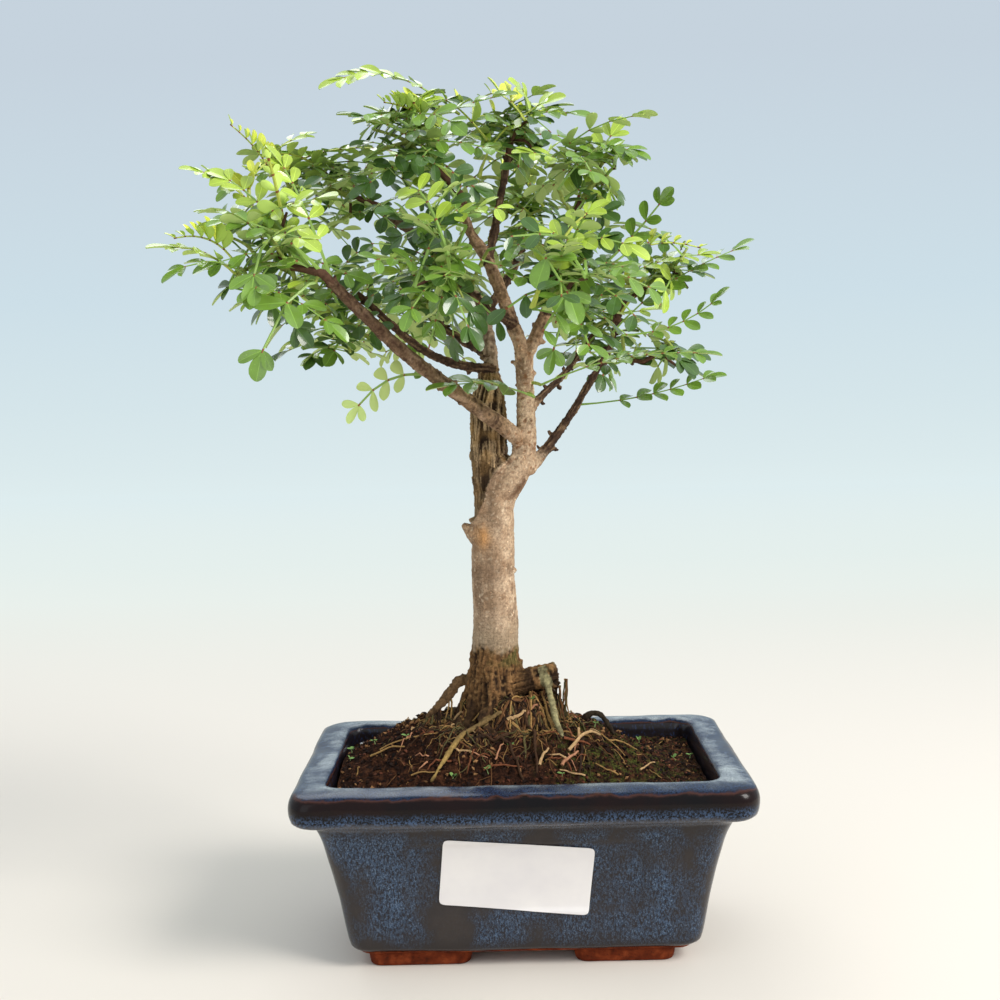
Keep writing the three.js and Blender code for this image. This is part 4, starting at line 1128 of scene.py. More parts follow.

# %% [markdown]
# ## Crumbs, rootlets and sprouts on the soil
# Up close the surface is loose: crumbs and chips of bark, hair roots that were washed free, a few
# cut pale rootlets, moss and tiny seedlings. Each kind is one small form, copied by a seeded rule
# into arrays of points and faces and joined into one mesh.

# %% Joining many small forms into one mesh
def join_forms(name, forms, finishes):
    """Forms are (points in metres, faces, finish number for each face), joined in one go."""
    points, faces, tints, start = [], [], [], 0
    for form_points, form_faces, form_tints in forms:
        points.append(np.asarray(form_points))
        faces.extend(tuple(corner + start for corner in face) for face in form_faces)
        tints.extend(form_tints)
        start += len(form_points)
    mesh = bpy.data.meshes.new(name)
    mesh.from_pydata(np.concatenate(points).tolist(), [], faces)
    mesh.polygons.foreach_set("material_index", tints)
    for finish in finishes:
        mesh.materials.append(finish)
    mesh.update()
    piece = bpy.data.objects.new(name, mesh)
    bpy.context.scene.collection.objects.link(piece)
    return piece


def thread(line, tint, sides=4):
    """A thin tube through places with radii, in millimetres, closed by a flat face at each end."""
    points, faces = [], []
    across = Vector((0.3, 0.2, 1)).normalized()
    for step, (where, radius) in enumerate(line):
        ahead = ahead_at(line, step)
        across = (across - ahead * across.dot(ahead)).normalized()
        up = ahead.cross(across)
        for side in range(sides):
            angle = side / sides * math.tau
            points.append(place(where + across * radius * math.cos(angle) + up * radius * math.sin(angle)))
    for step in range(len(line) - 1):
        for side in range(sides):
            a, b = step * sides + side, step * sides + (side + 1) % sides
            faces.append((a, b, b + sides, a + sides))
    last = (len(line) - 1) * sides
    faces.append(tuple(range(sides - 1, -1, -1)))
    faces.append(tuple(range(last, last + sides)))
    return [tuple(point) for point in points], faces, [tint] * len(faces)


def plain_finish(name, colour, roughness=0.85):
    """One colour with a faint grain, for small loose things."""
    material, shader = new_finish(name, roughness, specular=0.12)
    grain = noise_ramp(material, 900, [(0.35, 0.7), (0.65, 1.15)], detail=4)
    join(material, multiply(material, colour, grain), shader.inputs["Base Color"])
    add_bump(material, shader, noise_value(material, 1500, detail=3), 0.1, 0.5)
    return material


# %% Crumbs and chips
CRUMB_COUNT = 7500
chip_points = np.array([
    (0, 0, 1), (0.9, 0.1, 0.1), (0.2, 0.9, -0.1), (-0.8, 0.3, 0.2), (-0.2, -0.9, 0), (0.1, 0, -0.9)])
chip_faces = [(0, 1, 2), (0, 2, 3), (0, 3, 4), (0, 4, 1), (5, 2, 1), (5, 3, 2), (5, 4, 3), (5, 1, 4)]
random = make_random(GROWTH_SEED + 5)
crumbs = []
while len(crumbs) < CRUMB_COUNT:
    x, y = (random() * 2 - 1) * (SOIL_HALF[0] - 0.8), (random() * 2 - 1) * (SOIL_HALF[1] - 0.8)
    if math.hypot(x - TRUNK_X, y) < 8.5:
        continue
    size = 0.24 + 0.95 * random() ** 3
    stretch = np.diag([size * (low + more * random()) for low, more in ((0.7, 0.9), (0.6, 0.5), (0.4, 0.5))])
    spin = Matrix.Rotation(random() * math.tau, 3, (random() - 0.5, random() - 0.5, random() + 0.1))
    points = chip_points @ stretch @ np.array(spin)
    points = (points + np.array((x, y, soil_height(x, y) + size * 0.2)) + np.array(POT_MIDDLE)) / 1000
    tint = min(int(random() * 4.6), 4) if random() < 0.55 else 0
    crumbs.append((points, chip_faces, [tint] * len(chip_faces)))
crumb_finishes = [plain_finish(*pair) for pair in (
    ("crumb_dark", srgb(34, 21, 16)), ("crumb_brown", srgb(74, 46, 34)), ("crumb_red", srgb(98, 58, 42)),
    ("crumb_black", srgb(16, 11, 9)), ("crumb_tan", srgb(142, 104, 68)))]
crumb_piece = join_forms("soil_crumbs", crumbs, crumb_finishes)
finish_piece(crumb_piece)

# %% Rootlets that lie over the heap and the soil
ROOTLET_TINTS = 5
rootlets = []
random = make_random(GROWTH_SEED + 6)


def rootlet(x, y, heading, length, thick, lift, tint, curl=0.5):
    """A root that wanders over the surface from a place, diving in at its end."""
    steps = max(6, int(length / 1.0))
    line = []
    for step in range(steps + 1):
        share = step / steps
        arch_height = lift * math.sin(math.pi * min(share * 1.1, 1))
        z = soil_height(x, y) + thick * (1.1 - 2.4 * max(share - 0.75, 0) * 4) + arch_height
        line.append((Vector((x, y, z)), thick * (1 - 0.5 * share) * (0.85 + 0.3 * random())))
        heading += (random() - 0.5) * curl
        x += math.cos(heading) * length / steps
        y += math.sin(heading) * length / steps
        if abs(x) > SOIL_HALF[0] - 1.2 or abs(y) > SOIL_HALF[1] - 1.2:
            break
    if len(line) > 3:
        rootlets.append(thread(line, tint, 4 if thick < 0.4 else 6))


def start_on_heap(inner, outer):
    """A place on the heap round the trunk's foot, and the angle outwards."""
    angle = random() * math.tau
    distance = inner + (outer - inner) * random()
    x = TRUNK_X + 4 * (math.cos(angle) > 0) * distance / 12 + distance * math.cos(angle)
    return x, distance * math.sin(angle), angle


for number in range(760):
    x, y, angle = start_on_heap(8.8, 17 if number % 2 else 26)
    thin = random() < 0.8
    tangle = angle + (random() - 0.5) * (3.0 if number % 3 else 5.6)
    thick = 0.11 + 0.15 * random() if thin else 0.3 + 0.4 * random() ** 2
    length, lift = (6 if thin else 9) + 13 * random(), 2.0 * random() ** 3
    rootlet(x, y, tangle, length, thick, lift, int(random() * ROOTLET_TINTS), 0.9 if thin else 0.5)
for number in range(150):
    x, y = (random() * 2 - 1) * 58, (random() * 2 - 1) * 34
    heading, length, thick, lift = random() * math.tau, 3 + 8 * random(), 0.1 + 0.13 * random(), 0.8 * random()
    rootlet(x, y, heading, length, thick, lift, int(random() * ROOTLET_TINTS), 0.9)
for number in range(52):
    x, y = TRUNK_X + (random() - 0.5) * 64, (random() - 0.55) * 52
    if math.hypot(x - TRUNK_X, y) < 13 or abs(y) > SOIL_HALF[1] - 3:
        continue
    heading, length, thick = random() * math.tau, 3.5 + 7 * random(), 0.26 + 0.32 * random() ** 2
    rootlet(x, y, heading, length, thick, 1.8 * random(), ROOTLET_TINTS + number % 3, 0.22)
LAID_ROOTS = [
    (15.8, -23.3, 27.5, -10.5, 0.75, 2.2, 6), (13.3, -29.2, 19.1, -22.9, 0.7, 0.8, 5),
    (5.8, -30.1, 8.8, -24.3, 0.62, 0.8, 6), (14.4, -19.1, 23.5, -18.3, 0.6, 0.6, 7),
    (30.5, -10.3, 40.9, -6.2, 0.35, 0.6, 2), (-4.6, -14.8, 1.6, -11.9, 0.85, 1.5, 6),
    (-22, -5.8, -7.4, -13.1, 0.45, 1, 2), (-37.7, -29.4, -27.7, -30.7, 0.35, 0.4, 2),
    (-52.6, -13.1, -40.5, -17.2, 0.45, 0.4, 2), (-13, -32.1, -0.1, -31.1, 0.4, 0.4, 7),
    (-9.2, -29.5, -6.4, -24.1, 0.4, 0.5, 5), (-49.3, -12.9, -28.2, -15.4, 0.3, 0.5, 2),
    (27.7, -8.6, 35.7, -15.2, 0.3, 0.5, 2), (40.4, -19.6, 46.7, -10, 0.4, 0.4, 6),
    (32.3, -26.1, 25, -24.7, 0.35, 0.5, 2), (-17.7, -25.7, -23.9, -20, 0.35, 0.6, 0),
    (20.8, -30.5, 12.5, -30.8, 0.4, 0.5, 6),
]
for x_a, y_a, x_b, y_b, thick, lift, tint in LAID_ROOTS:
    line = []
    for step in range(9):
        x = x_a + (x_b - x_a) * step / 8 + (random() - 0.5) * 0.3
        y = y_a + (y_b - y_a) * step / 8 + (random() - 0.5) * 0.3 + math.sin(step * 0.8 + x_a) * 0.4
        z = mound(x, y) + 0.5 + thick + lift * math.sin(math.pi * step / 8)
        line.append((Vector((x, y, z)), thick * (0.85 - 0.04 * step)))
    rootlets.append(thread(line, tint, 6))
HANGING = [
    ((-31, -3.2), 82), ((-33, -3.6), 79.6), ((-29, -2.8), 83.6), ((-25, -2), 87), ((-32.4, -3.4), 80.4),
    ((13.6, -4.6), 90), ((15.6, -4), 91), ((9, -7), 89), ((16, -3), 92)]
for (x, y), top in HANGING * 3:
    x, y = x + (random() - 0.5) * 1.6, y + (random() - 0.5) * 1.6
    drift, line = Vector(((random() - 0.6) * 5, (random() - 0.5) * 4)), []
    for step in range(9):
        share = step / 8
        px, py = x + drift.x * share ** 1.5 + (random() - 0.5) * 0.5, y + drift.y * share ** 1.5
        bottom = soil_height(px, py) - 0.3
        line.append((Vector((px, py, top + (bottom - top) * share)), 0.3 * (1 - 0.5 * share) + 0.08))
    rootlets.append(thread(line, int(random() * ROOTLET_TINTS)))
rootlet_finishes = [plain_finish(*pair) for pair in (
    ("rootlet_brown", srgb(110, 76, 48)), ("rootlet_dark", srgb(48, 34, 26)),
    ("rootlet_ochre", srgb(156, 122, 74)), ("rootlet_umber", srgb(66, 46, 32)),
    ("rootlet_olive", srgb(90, 82, 52)), ("rootlet_pink", srgb(172, 122, 92)),
    ("rootlet_pale", srgb(182, 148, 106)), ("rootlet_rust", srgb(120, 72, 48)))]
rootlet_piece = join_forms("rootlets", rootlets, rootlet_finishes)
finish_piece(rootlet_piece)

# %% Seedlings and moss
SEEDLINGS = [
    (-22.5, 1.3), (-60.7, 0.8), (-60.8, -5.8), (-40.2, -12.1), (-51.3, -6.9), (2.8, -9.7),
    (-5.5, -25.1), (13.1, -31.1), (61.3, 7.1), (25.9, -4.7), (-23.7, -32.7), (-11.3, -33.1),
    (45.3, 26.4), (56, 3), (33, 18), (-44, 22), (-20, 28), (8, 30)]
round_leaf = [(0, 0), (0.5, 0.35), (0.62, 0.85), (0.35, 1.25), (-0.35, 1.25), (-0.62, 0.85), (-0.5, 0.35)]
random = make_random(GROWTH_SEED + 7)
greens = []
for x, y in SEEDLINGS:
    foot = Vector((x, y, soil_height(x, y)))
    head = foot + Vector(((random() - 0.5) * 2.4, (random() - 0.5) * 2.4, 0.6 + 1.7 * random()))
    greens.append(thread([(foot - Vector((0, 0, 0.5)), 0.2), (head, 0.16)], 1))
    for leaf in range(2 + int(random() * 2.5)):
        spin = Matrix.Rotation(leaf * 2.4 + random(), 3, "Z") @ Matrix.Rotation(-0.9 + 1.0 * random(), 3, "Y")
        size = 0.7 + 0.8 * random()
        blade = [head + spin @ Vector((v * size, u * size, 0.12 * size * math.sin(v * 2))) for u, v in round_leaf]
        under = [point - Vector((0, 0, 0.08)) for point in blade]
        count = len(blade)
        faces = [tuple(range(count)), tuple(range(2 * count - 1, count - 1, -1))]
        faces += [(a, count + a, count + (a + 1) % count, (a + 1) % count) for a in range(count)]
        greens.append(([tuple(place(point)) for point in blade + under], faces, [0] * len(faces)))
for tuft in range(1500):
    x, y = 6 + 56 * random(), -34 + 30 * random()
    if tuft % 4 == 0:
        x, y = TRUNK_X + (random() - 0.5) * 30, (random() - 0.5) * 30
    if noise.noise(Vector((x, y, 5)) / 6) < 0.05 or math.hypot(x - TRUNK_X, y) < 10:
        continue
    foot = Vector((x, y, soil_height(x, y) - 0.1))
    lean = Vector((random() - 0.5, random() - 0.5, 0.9)).normalized() * (0.6 + 0.7 * random())
    side = lean.cross(Vector((random() - 0.5, random() - 0.5, 0.1))).normalized() * 0.11
    points = [foot + side, foot - side, foot + lean, foot + side.cross(lean).normalized() * 0.11]
    blade_faces = [(0, 1, 2), (1, 3, 2), (3, 0, 2)]
    greens.append(([tuple(place(point)) for point in points], blade_faces, [2 + tuft % 2] * 3))
green_finishes = [plain_finish(*pair) for pair in (
    ("seedling_leaf", srgb(116, 148, 84)), ("seedling_stem", srgb(132, 150, 98)),
    ("moss_olive", srgb(92, 98, 44)), ("moss_green", srgb(70, 92, 36)))]
green_piece = join_forms("seedlings_and_moss", greens, green_finishes)
finish_piece(green_piece)

# %% White pebble at the back wall
start_fresh()
bpy.ops.mesh.primitive_ico_sphere_add(subdivisions=3, radius=1, location=(0, 0, 0))
pebble = bpy.context.object
pebble.name = "pebble"
for vertex in pebble.data.vertices:
    lump = 1 + 0.25 * noise.noise(vertex.co * 1.3)
    from_middle = Vector((vertex.co.x * 1.7, vertex.co.y * 1.3, vertex.co.z * 1.2)) * lump
    vertex.co = place(Vector((-60, 34, soil_height(-60, 34) + 0.8)) + from_middle)
bpy.ops.object.shade_smooth()
pebble.data.materials.append(plain_finish("pebble", srgb(224, 224, 226), 0.6))
finish_piece(pebble)

# %% [markdown]
# ## Leaves
# A leaf of this tree is a row: a narrow green rib with one to nine pairs of small round-tipped
# leaflets and one at its end. Each leaflet is glossy above, pale beneath, folded a little along
# its midrib. It could be a flat card, but its outline, its fold and its lighter rib are what the eye
# reads, so one leaflet is drawn as a blade of a few dozen faces and copied by the growing rule.

# %% One leaflet, 1 mm long
STATIONS = [
    (0.0, 0.03), (0.12, 0.115), (0.28, 0.205), (0.46, 0.262),
    (0.64, 0.282), (0.8, 0.25), (0.92, 0.165), (0.985, 0.06)]


def make_leaflet_form():
    """Points and faces of a blade along +Y, its upper face towards +Z."""
    points, faces, kinds = [], [], []
    for along, half_width in STATIONS:
        droop = -0.11 * along * along
        rib = min(0.013 * (1.6 - along), half_width * 0.5)
        edge_z = droop + 0.075 * half_width / 0.3
        points += [(-half_width, along, edge_z), (-rib, along, droop + 0.006), (rib, along, droop + 0.006),
                   (half_width, along, edge_z), (0, along, droop - 0.03)]
    for step in range(len(STATIONS) - 1):
        a, b = step * 5, step * 5 + 5
        faces += [(a, a + 1, b + 1, b), (a + 1, a + 2, b + 2, b + 1), (a + 2, a + 3, b + 3, b + 2)]
        faces += [(a + 4, a, b, b + 4), (a + 3, a + 4, b + 4, b + 3)]
        kinds += [0, 2, 0, 1, 1]
    end = (len(STATIONS) - 1) * 5
    faces.append((end, end + 1, end + 2, end + 3, end + 4))
    faces.append((4, 3, 2, 1, 0))
    kinds += [0, 1]
    return np.array(points), faces, np.array(kinds)


LEAFLET_POINTS, LEAFLET_FACES, LEAFLET_KINDS = make_leaflet_form()
print("faces in a leaflet:", len(LEAFLET_FACES))

# %% [markdown]
# ## Where the leaves grow
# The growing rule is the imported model's: every mass keeps to an egg-shaped space, cut back where a
# neighbour's space is nearer. A stem runs on from the bough's tip to the middle of the space, and
# leaves reach for places dealt evenly over its skin. Here the rule goes further: side twigs first,
# then many more leaves in tufts, and single leaves that the photo shows against the sky.

# %% Spaces and the rule's tests
MASSES = [
    ("leaves_far_left", "crossing_bough", (-80, -40, 236), (33, 31, 40), 24),
    ("leaves_upper_left", "grey_limb", (-68, 18, 268), (43, 32, 25), 22),
    ("leaves_low_left", "dark_branch", (-62, -2, 216), (32, 30, 30), 20),
    ("leaves_top_left", "inner_left_bough", (-34, -16, 277), (38, 32, 27), 22),
    ("leaves_top", "top_twig", (2, 2, 282), (29, 30, 20), 17),
    ("leaves_top_right", "inner_right_bough", (28, -13, 263), (29, 33, 27), 14),
    ("leaves_right", "far_right_bough", (57, 10, 236), (31, 33, 27), 9),
    ("leaves_low_right", "low_right_twig", (52, -4, 206), (24, 30, 16), 7),
    ("leaves_front", "front_twig", (17, -44, 226), (29, 24, 27), 26),
    ("leaves_front_left", "front_left_twig", (-22, -41, 234), (27, 24, 30), 26),
    ("leaves_back_left", "back_left_bough", (-36, 46, 226), (34, 26, 27), 24),
    ("leaves_back", "back_middle_bough", (6, 44, 258), (34, 28, 28), 22),
    ("leaves_back_right", "back_right_bough", (34, 43, 217), (32, 27, 27), 17),
]
MIDDLES = np.array([mass[2] for mass in MASSES], float)
REACHES = np.array([mass[3] for mass in MASSES], float)
wood_lines = [sample for sample in bark_samples if not sample[2].startswith("root")]
WOOD_PLACES = np.array([tuple(sample[0]) for sample in wood_lines])
WOOD_RADII = np.array([sample[1] for sample in wood_lines])


def is_in_space(order, places, slack=0.0):
    """True where places lie in a mass's own space and no neighbour's space is nearer."""
    shares = np.linalg.norm((places[:, None, :] - MIDDLES) / REACHES, axis=2)
    own = shares[:, order].copy()
    shares[:, order] = 9
    return (own < 1.0 + slack) & (shares.min(axis=1) > own - 0.1 - slack)


def is_clear_of_wood(places, margin):
    """True where places keep a margin from every limb."""
    gaps = np.linalg.norm(places[:, None, :] - WOOD_PLACES, axis=2) - WOOD_RADII
    return gaps.min(axis=1) > margin


CROWN_OUTLINE = [
    (-108, 254), (-104, 266), (-93, 275), (-89, 282), (-75, 278), (-62, 269), (-50, 277), (-48, 290),
    (-37, 294), (-23, 301), (-6, 296), (8, 297), (22, 290), (35, 285), (43, 272), (32, 263), (36, 253),
    (42, 245), (54, 244), (60, 235), (49, 227), (52, 217), (48, 207), (34, 196), (16, 190), (2, 190),
    (-16, 192), (-29, 198), (-40, 203), (-57, 207), (-78, 210), (-87, 221), (-95, 229), (-107, 243)]
OPEN_LINES = [
    (3.5, [(3, 188, -9), (3, 208, -10), (-3, 226, -12), (-8, 239, -14), (-12, 250, -16)]),
    (2.8, [(3, 208, -10), (11, 219, -12)]),
    (3.2, [(2, 176, -8), (-5, 182, -11), (-18, 192, -17), (-29, 201, -24),
           (-40, 209, -30), (-53, 220, -36), (-63, 233, -42)]),
]


def seen_from_front(places):
    """Where the camera sees places, in millimetres on an upright sheet through the pot's middle."""
    share = -EYE[1] / (places[:, 1] - EYE[1])
    return EYE[0] + (places[:, 0] - EYE[0]) * share, EYE[2] + (places[:, 2] - EYE[2]) * share


def is_in_outline(places):
    """Within the crown's outline as the photo shows it."""
    u, v = seen_from_front(places)
    inside = np.zeros(len(places), bool)
    for (u_a, v_a), (u_b, v_b) in zip(CROWN_OUTLINE, CROWN_OUTLINE[1:] + CROWN_OUTLINE[:1]):
        if v_a != v_b:
            inside ^= ((v_a > v) != (v_b > v)) & (u < (u_b - u_a) * (v - v_a) / (v_b - v_a) + u_a)
    return inside


def is_beside_open_lines(places):
    """Not in front of the boughs that the photo shows bare."""
    u, v = seen_from_front(places)
    free = np.ones(len(places), bool)
    for width, line in OPEN_LINES:
        for (u_a, v_a, y_a), (u_b, v_b, y_b) in zip(line, line[1:]):
            length_squared = (u_b - u_a) ** 2 + (v_b - v_a) ** 2
            share = np.clip(((u - u_a) * (u_b - u_a) + (v - v_a) * (v_b - v_a)) / length_squared, 0, 1)
            gap = np.hypot(u - u_a - share * (u_b - u_a), v - v_a - share * (v_b - v_a))
            free &= ~((gap < width) & (places[:, 1] < y_a + share * (y_b - y_a)))
    return free


def bend_over(start, top, end, count):
    """Places on a curve that leaves its start towards the top and comes down to its end."""
    shares = [step / count for step in range(count + 1)]
    return [start * (1 - t) ** 2 + top * 2 * t * (1 - t) + end * t * t for t in shares]


def arch(start, end, rise, count):
    """Places on a curve that rises in its middle, so that its end droops."""
    return bend_over(start, (start + end) / 2 + Vector((0, 0, rise)), end, count)


def square_to(ahead, direction):
    """The part of a direction that stands square on another, as long as 1."""
    return (direction - ahead * direction.dot(ahead)).normalized()


# %% Tints of the leaves, dealt out by spray
leaf_finishes = []


def leaf_finish(name, colour, roughness, coat, dotted=False):
    """A plain base colour, with faint pale oil dots on the upper faces and a little wax."""
    material, shader = new_finish(name, roughness, coat=coat, coat_roughness=0.08, specular=0.4)
    if dotted:
        pale = tuple(min(part * 1.5 + 0.03, 1) for part in colour[:3]) + (1,)
        dots = add_node(material, "ShaderNodeTexVoronoi", Scale=780)
        join(material, coordinates(material), dots.inputs["Vector"])
        dot_share = ramp(material, dots.outputs["Distance"], [(0.1, 0.55), (0.2, 0.0)])
        clouded = multiply(material, colour, noise_ramp(material, 90, [(0.35, 0.84), (0.65, 1.14)], detail=2))
        join(material, mix(material, dot_share, clouded, pale), shader.inputs["Base Color"])
    else:
        shader.inputs["Base Color"].default_value = colour
    add_bump(material, shader, noise_value(material, 700, detail=2), 0.1, 0.5)
    leaf_finishes.append(material)


UPPER_TINTS = {
    "dark": srgb(66, 98, 40), "mid": srgb(110, 146, 52), "light": srgb(166, 192, 68), "young": srgb(212, 220, 80),
}
for leaf_name, leaf_colour in UPPER_TINTS.items():
    leaf_finish("leaf_" + leaf_name, leaf_colour, 0.34, 0.62, dotted=True)
for leaf_name, leaf_colour in UPPER_TINTS.items():
    lighter = tuple(part * 1.35 + 0.015 for part in leaf_colour[:3]) + (1,)
    leaf_finish("midrib_" + leaf_name, lighter, 0.4, 0.2)
leaf_finish("leaf_under", srgb(186, 208, 126), 0.6, 0.0)
leaf_finish("leaf_under_young", srgb(194, 222, 108), 0.6, 0.0)
leaf_finish("rachis_green", srgb(134, 166, 78), 0.45, 0.1)
leaf_finish("rachis_young", srgb(188, 198, 88), 0.45, 0.1)
leaf_finish("leaf_joint", srgb(134, 78, 48), 0.6, 0.0)
JOINT = 12
# Places in the list of finishes of a spray's upper face, under face, midrib and rib.
SPRAYS = {
    "dark": (0, 8, 4, 10), "mid": (1, 8, 5, 10), "light": (2, 8, 6, 10),
    "young": (2, 9, 6, 11), "shoot": (3, 9, 7, 11),
}

# %% One compound leaf
def grow_leaf(base, top, tip, pairs, normal, spray, random, order=None, leaflet_length=7.4):
    """A rib on a curve and its leaflets, as forms. With an order, misplaced leaflets are left out."""
    line = bend_over(base, top, tip, 24)
    upper, under, midrib, rachis = SPRAYS[spray]
    kinds = np.array([upper, under, midrib])[LEAFLET_KINDS]
    forms = []

    def at(t):
        """Place and direction at a share of the rib."""
        step = min(int(t * 24), 23)
        return line[step].lerp(line[step + 1], t * 24 - step), (line[step + 1] - line[step]).normalized()

    def add_leaflet(t, turn, scale):
        """One leaflet on the rib; False where wood or a neighbour's space is in its way."""
        where, ahead = at(t)
        up = square_to(ahead, normal)
        up = Matrix.Rotation((random() - 0.5) * 0.3, 3, ahead) @ up
        heading = Matrix.Rotation(turn + (random() - 0.5) * 0.3, 3, up) @ ahead
        up = Matrix.Rotation((random() - 0.5) * 0.5, 3, heading) @ up
        lift = 0.9 if spray == "shoot" else 0.3 * (random() - 0.4)
        heading = (heading + up * lift).normalized()
        up = square_to(heading, up)
        across = heading.cross(up)
        long = leaflet_length * scale * (0.88 + 0.24 * random())
        frame_axes = np.array([across * long * (0.82 + 0.28 * random()), heading * long, up * long])
        places = LEAFLET_POINTS @ frame_axes + np.array(where + heading * 0.3)
        if order is not None:
            tests = places[[20, 23, 37]]
            free = is_in_space(order, tests, 0.14).all() and is_beside_open_lines(tests).all()
            if not (free and is_clear_of_wood(tests, 0.5).all()):
                return False
        forms.append(((places + np.array(POT_MIDDLE)) / 1000, LEAFLET_FACES, kinds.tolist()))
        return True

    first = 0.3 if pairs > 2 else 0.5
    joints = [first + (0.95 - first) * step / (pairs - 1) for step in range(pairs)] if pairs > 1 else [0.94]
    kept = 0
    for t in joints:
        scale = 0.84 + 0.2 * math.sin(math.pi * t)
        if spray == "shoot":
            scale *= 1.05 - 0.75 * ease(t, 0.35, 1.0)
        splay = (1.12 if spray != "shoot" else 0.95) - 0.3 * t
        kept += add_leaflet(t, splay, scale) + add_leaflet(t, -splay, scale)
    kept += add_leaflet(0.955, 0.0, 1.16 if spray != "shoot" else 0.42)
    if kept < 0.66 * (pairs * 2 + 1):
        return []
    stops = sorted({0.0, 0.12, 0.5, 0.97, *[round(t + shift, 3) for t in joints for shift in (-0.01, 0.01)]})
    rings, faces, tints = [], [], []
    for t in stops:
        where, ahead = at(t)
        up = square_to(ahead, normal)
        across = ahead.cross(up)
        wide = (0.64 - 0.3 * t) * (1.3 if t < 0.02 else 1) * (1.2 if spray in ("shoot", "young") else 1)
        flat = up * wide * 0.55
        rings += [where + across * wide, where + flat, where - across * wide, where - flat]
    for step in range(len(stops) - 1):
        is_joint = stops[step + 1] - stops[step] < 0.025
        for side in range(4):
            a, b = step * 4 + side, step * 4 + (side + 1) % 4
            faces.append((a, b, b + 4, a + 4))
            tints.append(JOINT if is_joint else rachis)
    forms.append(([tuple(place(point)) for point in rings], faces, tints))
    return forms


# %% [markdown]
# ## Leaves that stand alone against the sky
# Some leaves are seen one by one: arching shoots at the left, top and right, large leaflets near the
# eye, one pale leaf seen from beneath. Each is given as its foot, its height and its tip, with the
# number of pairs, how far its face turns to the front, and its tint. A twig joins it to the wood.

# %% Single leaves by place
SINGLE_LEAVES = [
    ("top_left", (-16.9, -8, 287.5), (-38.4, -14, 305.3), (-55.5, -20, 297), 7, 0.45, "light", 8.6),
    ("top_left", (-23.8, -16, 282.1), (-32.7, -20, 288.6), (-41.5, -24, 288.6), 7, 0.3, "shoot"),
    ("top_left", (-23.3, -20, 268.8), (-32.5, -26, 279.8), (-47.1, -32, 282.7), 4, 0.3, "dark"),
    ("top", (-10.7, -4, 266.7), (-7.6, -6, 282), (11.6, -14, 289.6), 3, 0.6, "young"),
    ("top", (-7.7, -4, 279.4), (-16.5, -8, 290.4), (-21.5, -10, 291.8), 3, 0.3, "shoot"),
    ("upper_left", (-80.9, 6, 261.1), (-81.1, 4, 275.5), (-96.9, 0, 288), 9, 0.3, "shoot"),
    ("upper_left", (-80.6, 6, 261.7), (-74.2, 8, 271.9), (-58.3, 12, 268.7), 4, 0.3, "young", 6.4),
    ("upper_left", (-82.5, 4, 277.2), (-78.1, 6, 282.6), (-72.3, 10, 284.6), 3, 0.2, "young", 5.8),
    ("far_left", (-79.1, -20, 247.4), (-88.3, -26, 264.3), (-99.5, -34, 266), 6, 0.5, "young", 6.8),
    ("far_left", (-85.7, -24, 256.5), (-87.6, -24, 265.9), (-80, -20, 270.9), 3, 0.4, "shoot", 6),
    ("far_left", (-87.5, -36, 234.5), (-93.7, -42, 247.8), (-106.2, -48, 243.3), 7, 0.2, "shoot"),
    ("far_left", (-88, -40, 232.6), (-96.2, -46, 241.5), (-104.2, -52, 240.2), 4, 0.1, "young"),
    ("far_left", (-84.1, -44, 232.2), (-92.6, -50, 238.9), (-101.6, -55, 233.7), 3, 0.2, "mid"),
    ("far_left", (-74.9, -50, 242.5), (-77.2, -57, 241.5), (-78.3, -64, 229.2), 1, 1.2, "mid", 9.6),
    ("far_left", (-62.2, -46, 229.3), (-70.1, -55, 227.5), (-77.4, -62, 206), 2, 1.3, "mid", 8.8),
    ("low_left", (-29.1, -18, 199.9), (-42.9, -24, 202.5), (-52.4, -28, 189.3), 4, -1.6, "light", 6.6),
    ("low_left", (-47.2, -22, 211.2), (-60.5, -26, 215.2), (-75.2, -28, 208.3), 5, 0.1, "dark"),
    ("upper_left", (-62.6, -6, 249.3), (-53.5, -10, 264.3), (-43.2, -12, 277), 4, 0.2, "dark"),
    ("top_right", (11.5, -16, 268), (24.9, -18, 282.7), (41.8, -22, 283), 4, -0.2, "light", 7.4),
    ("top_right", (15.4, -22, 259.6), (26, -24, 275.8), (38.8, -28, 270.8), 6, 0.45, "mid"),
    ("right", (30.6, 0, 235.8), (41.6, -2, 244.9), (51.6, -6, 257.6), 4, 1.2, "mid", 6.8),
    ("right", (30.2, 4, 233.4), (46.8, 4, 249.6), (67.7, 6, 242.1), 7, 0.3, "shoot", 6.5),
    ("right", (31.7, 2, 228.3), (48.2, 2, 239.7), (67.2, 4, 240), 6, 0.4, "light", 7),
    ("right", (35.2, 8, 213.6), (50.9, 8, 231.9), (80.8, 8, 242.6), 8, 0.4, "mid", 7),
    ("right", (37.9, 0, 212.5), (56.5, -2, 212.4), (69.4, -6, 223.4), 5, 0.7, "mid", 6.2),
    ("low_right", (9.1, -8, 195.8), (35.2, -14, 207.7), (62.8, -22, 205.2), 8, 0.3, "mid", 7.4),
    ("low_right", (35.7, 4, 202.6), (48.1, 4, 207.2), (60.8, 2, 200.6), 3, 0.3, "dark"),
    ("low_right", (23.4, 5.4, 188.6), (46.9, 4, 189.6), (68, -2, 197.6), 6, 0.5, "mid", 7),
    ("front", (-8, -30, 239.8), (10, -48, 244.5), (16.6, -60, 221.5), 3, 1.4, "mid", 9.4),
    ("front_left", (6.5, -12, 191.8), (-7.9, -24, 198.5), (-20.4, -28, 196.4), 4, 0.35, "mid", 10),
]

# %% Growing one mass
TWIG_RADIUS = 0.8


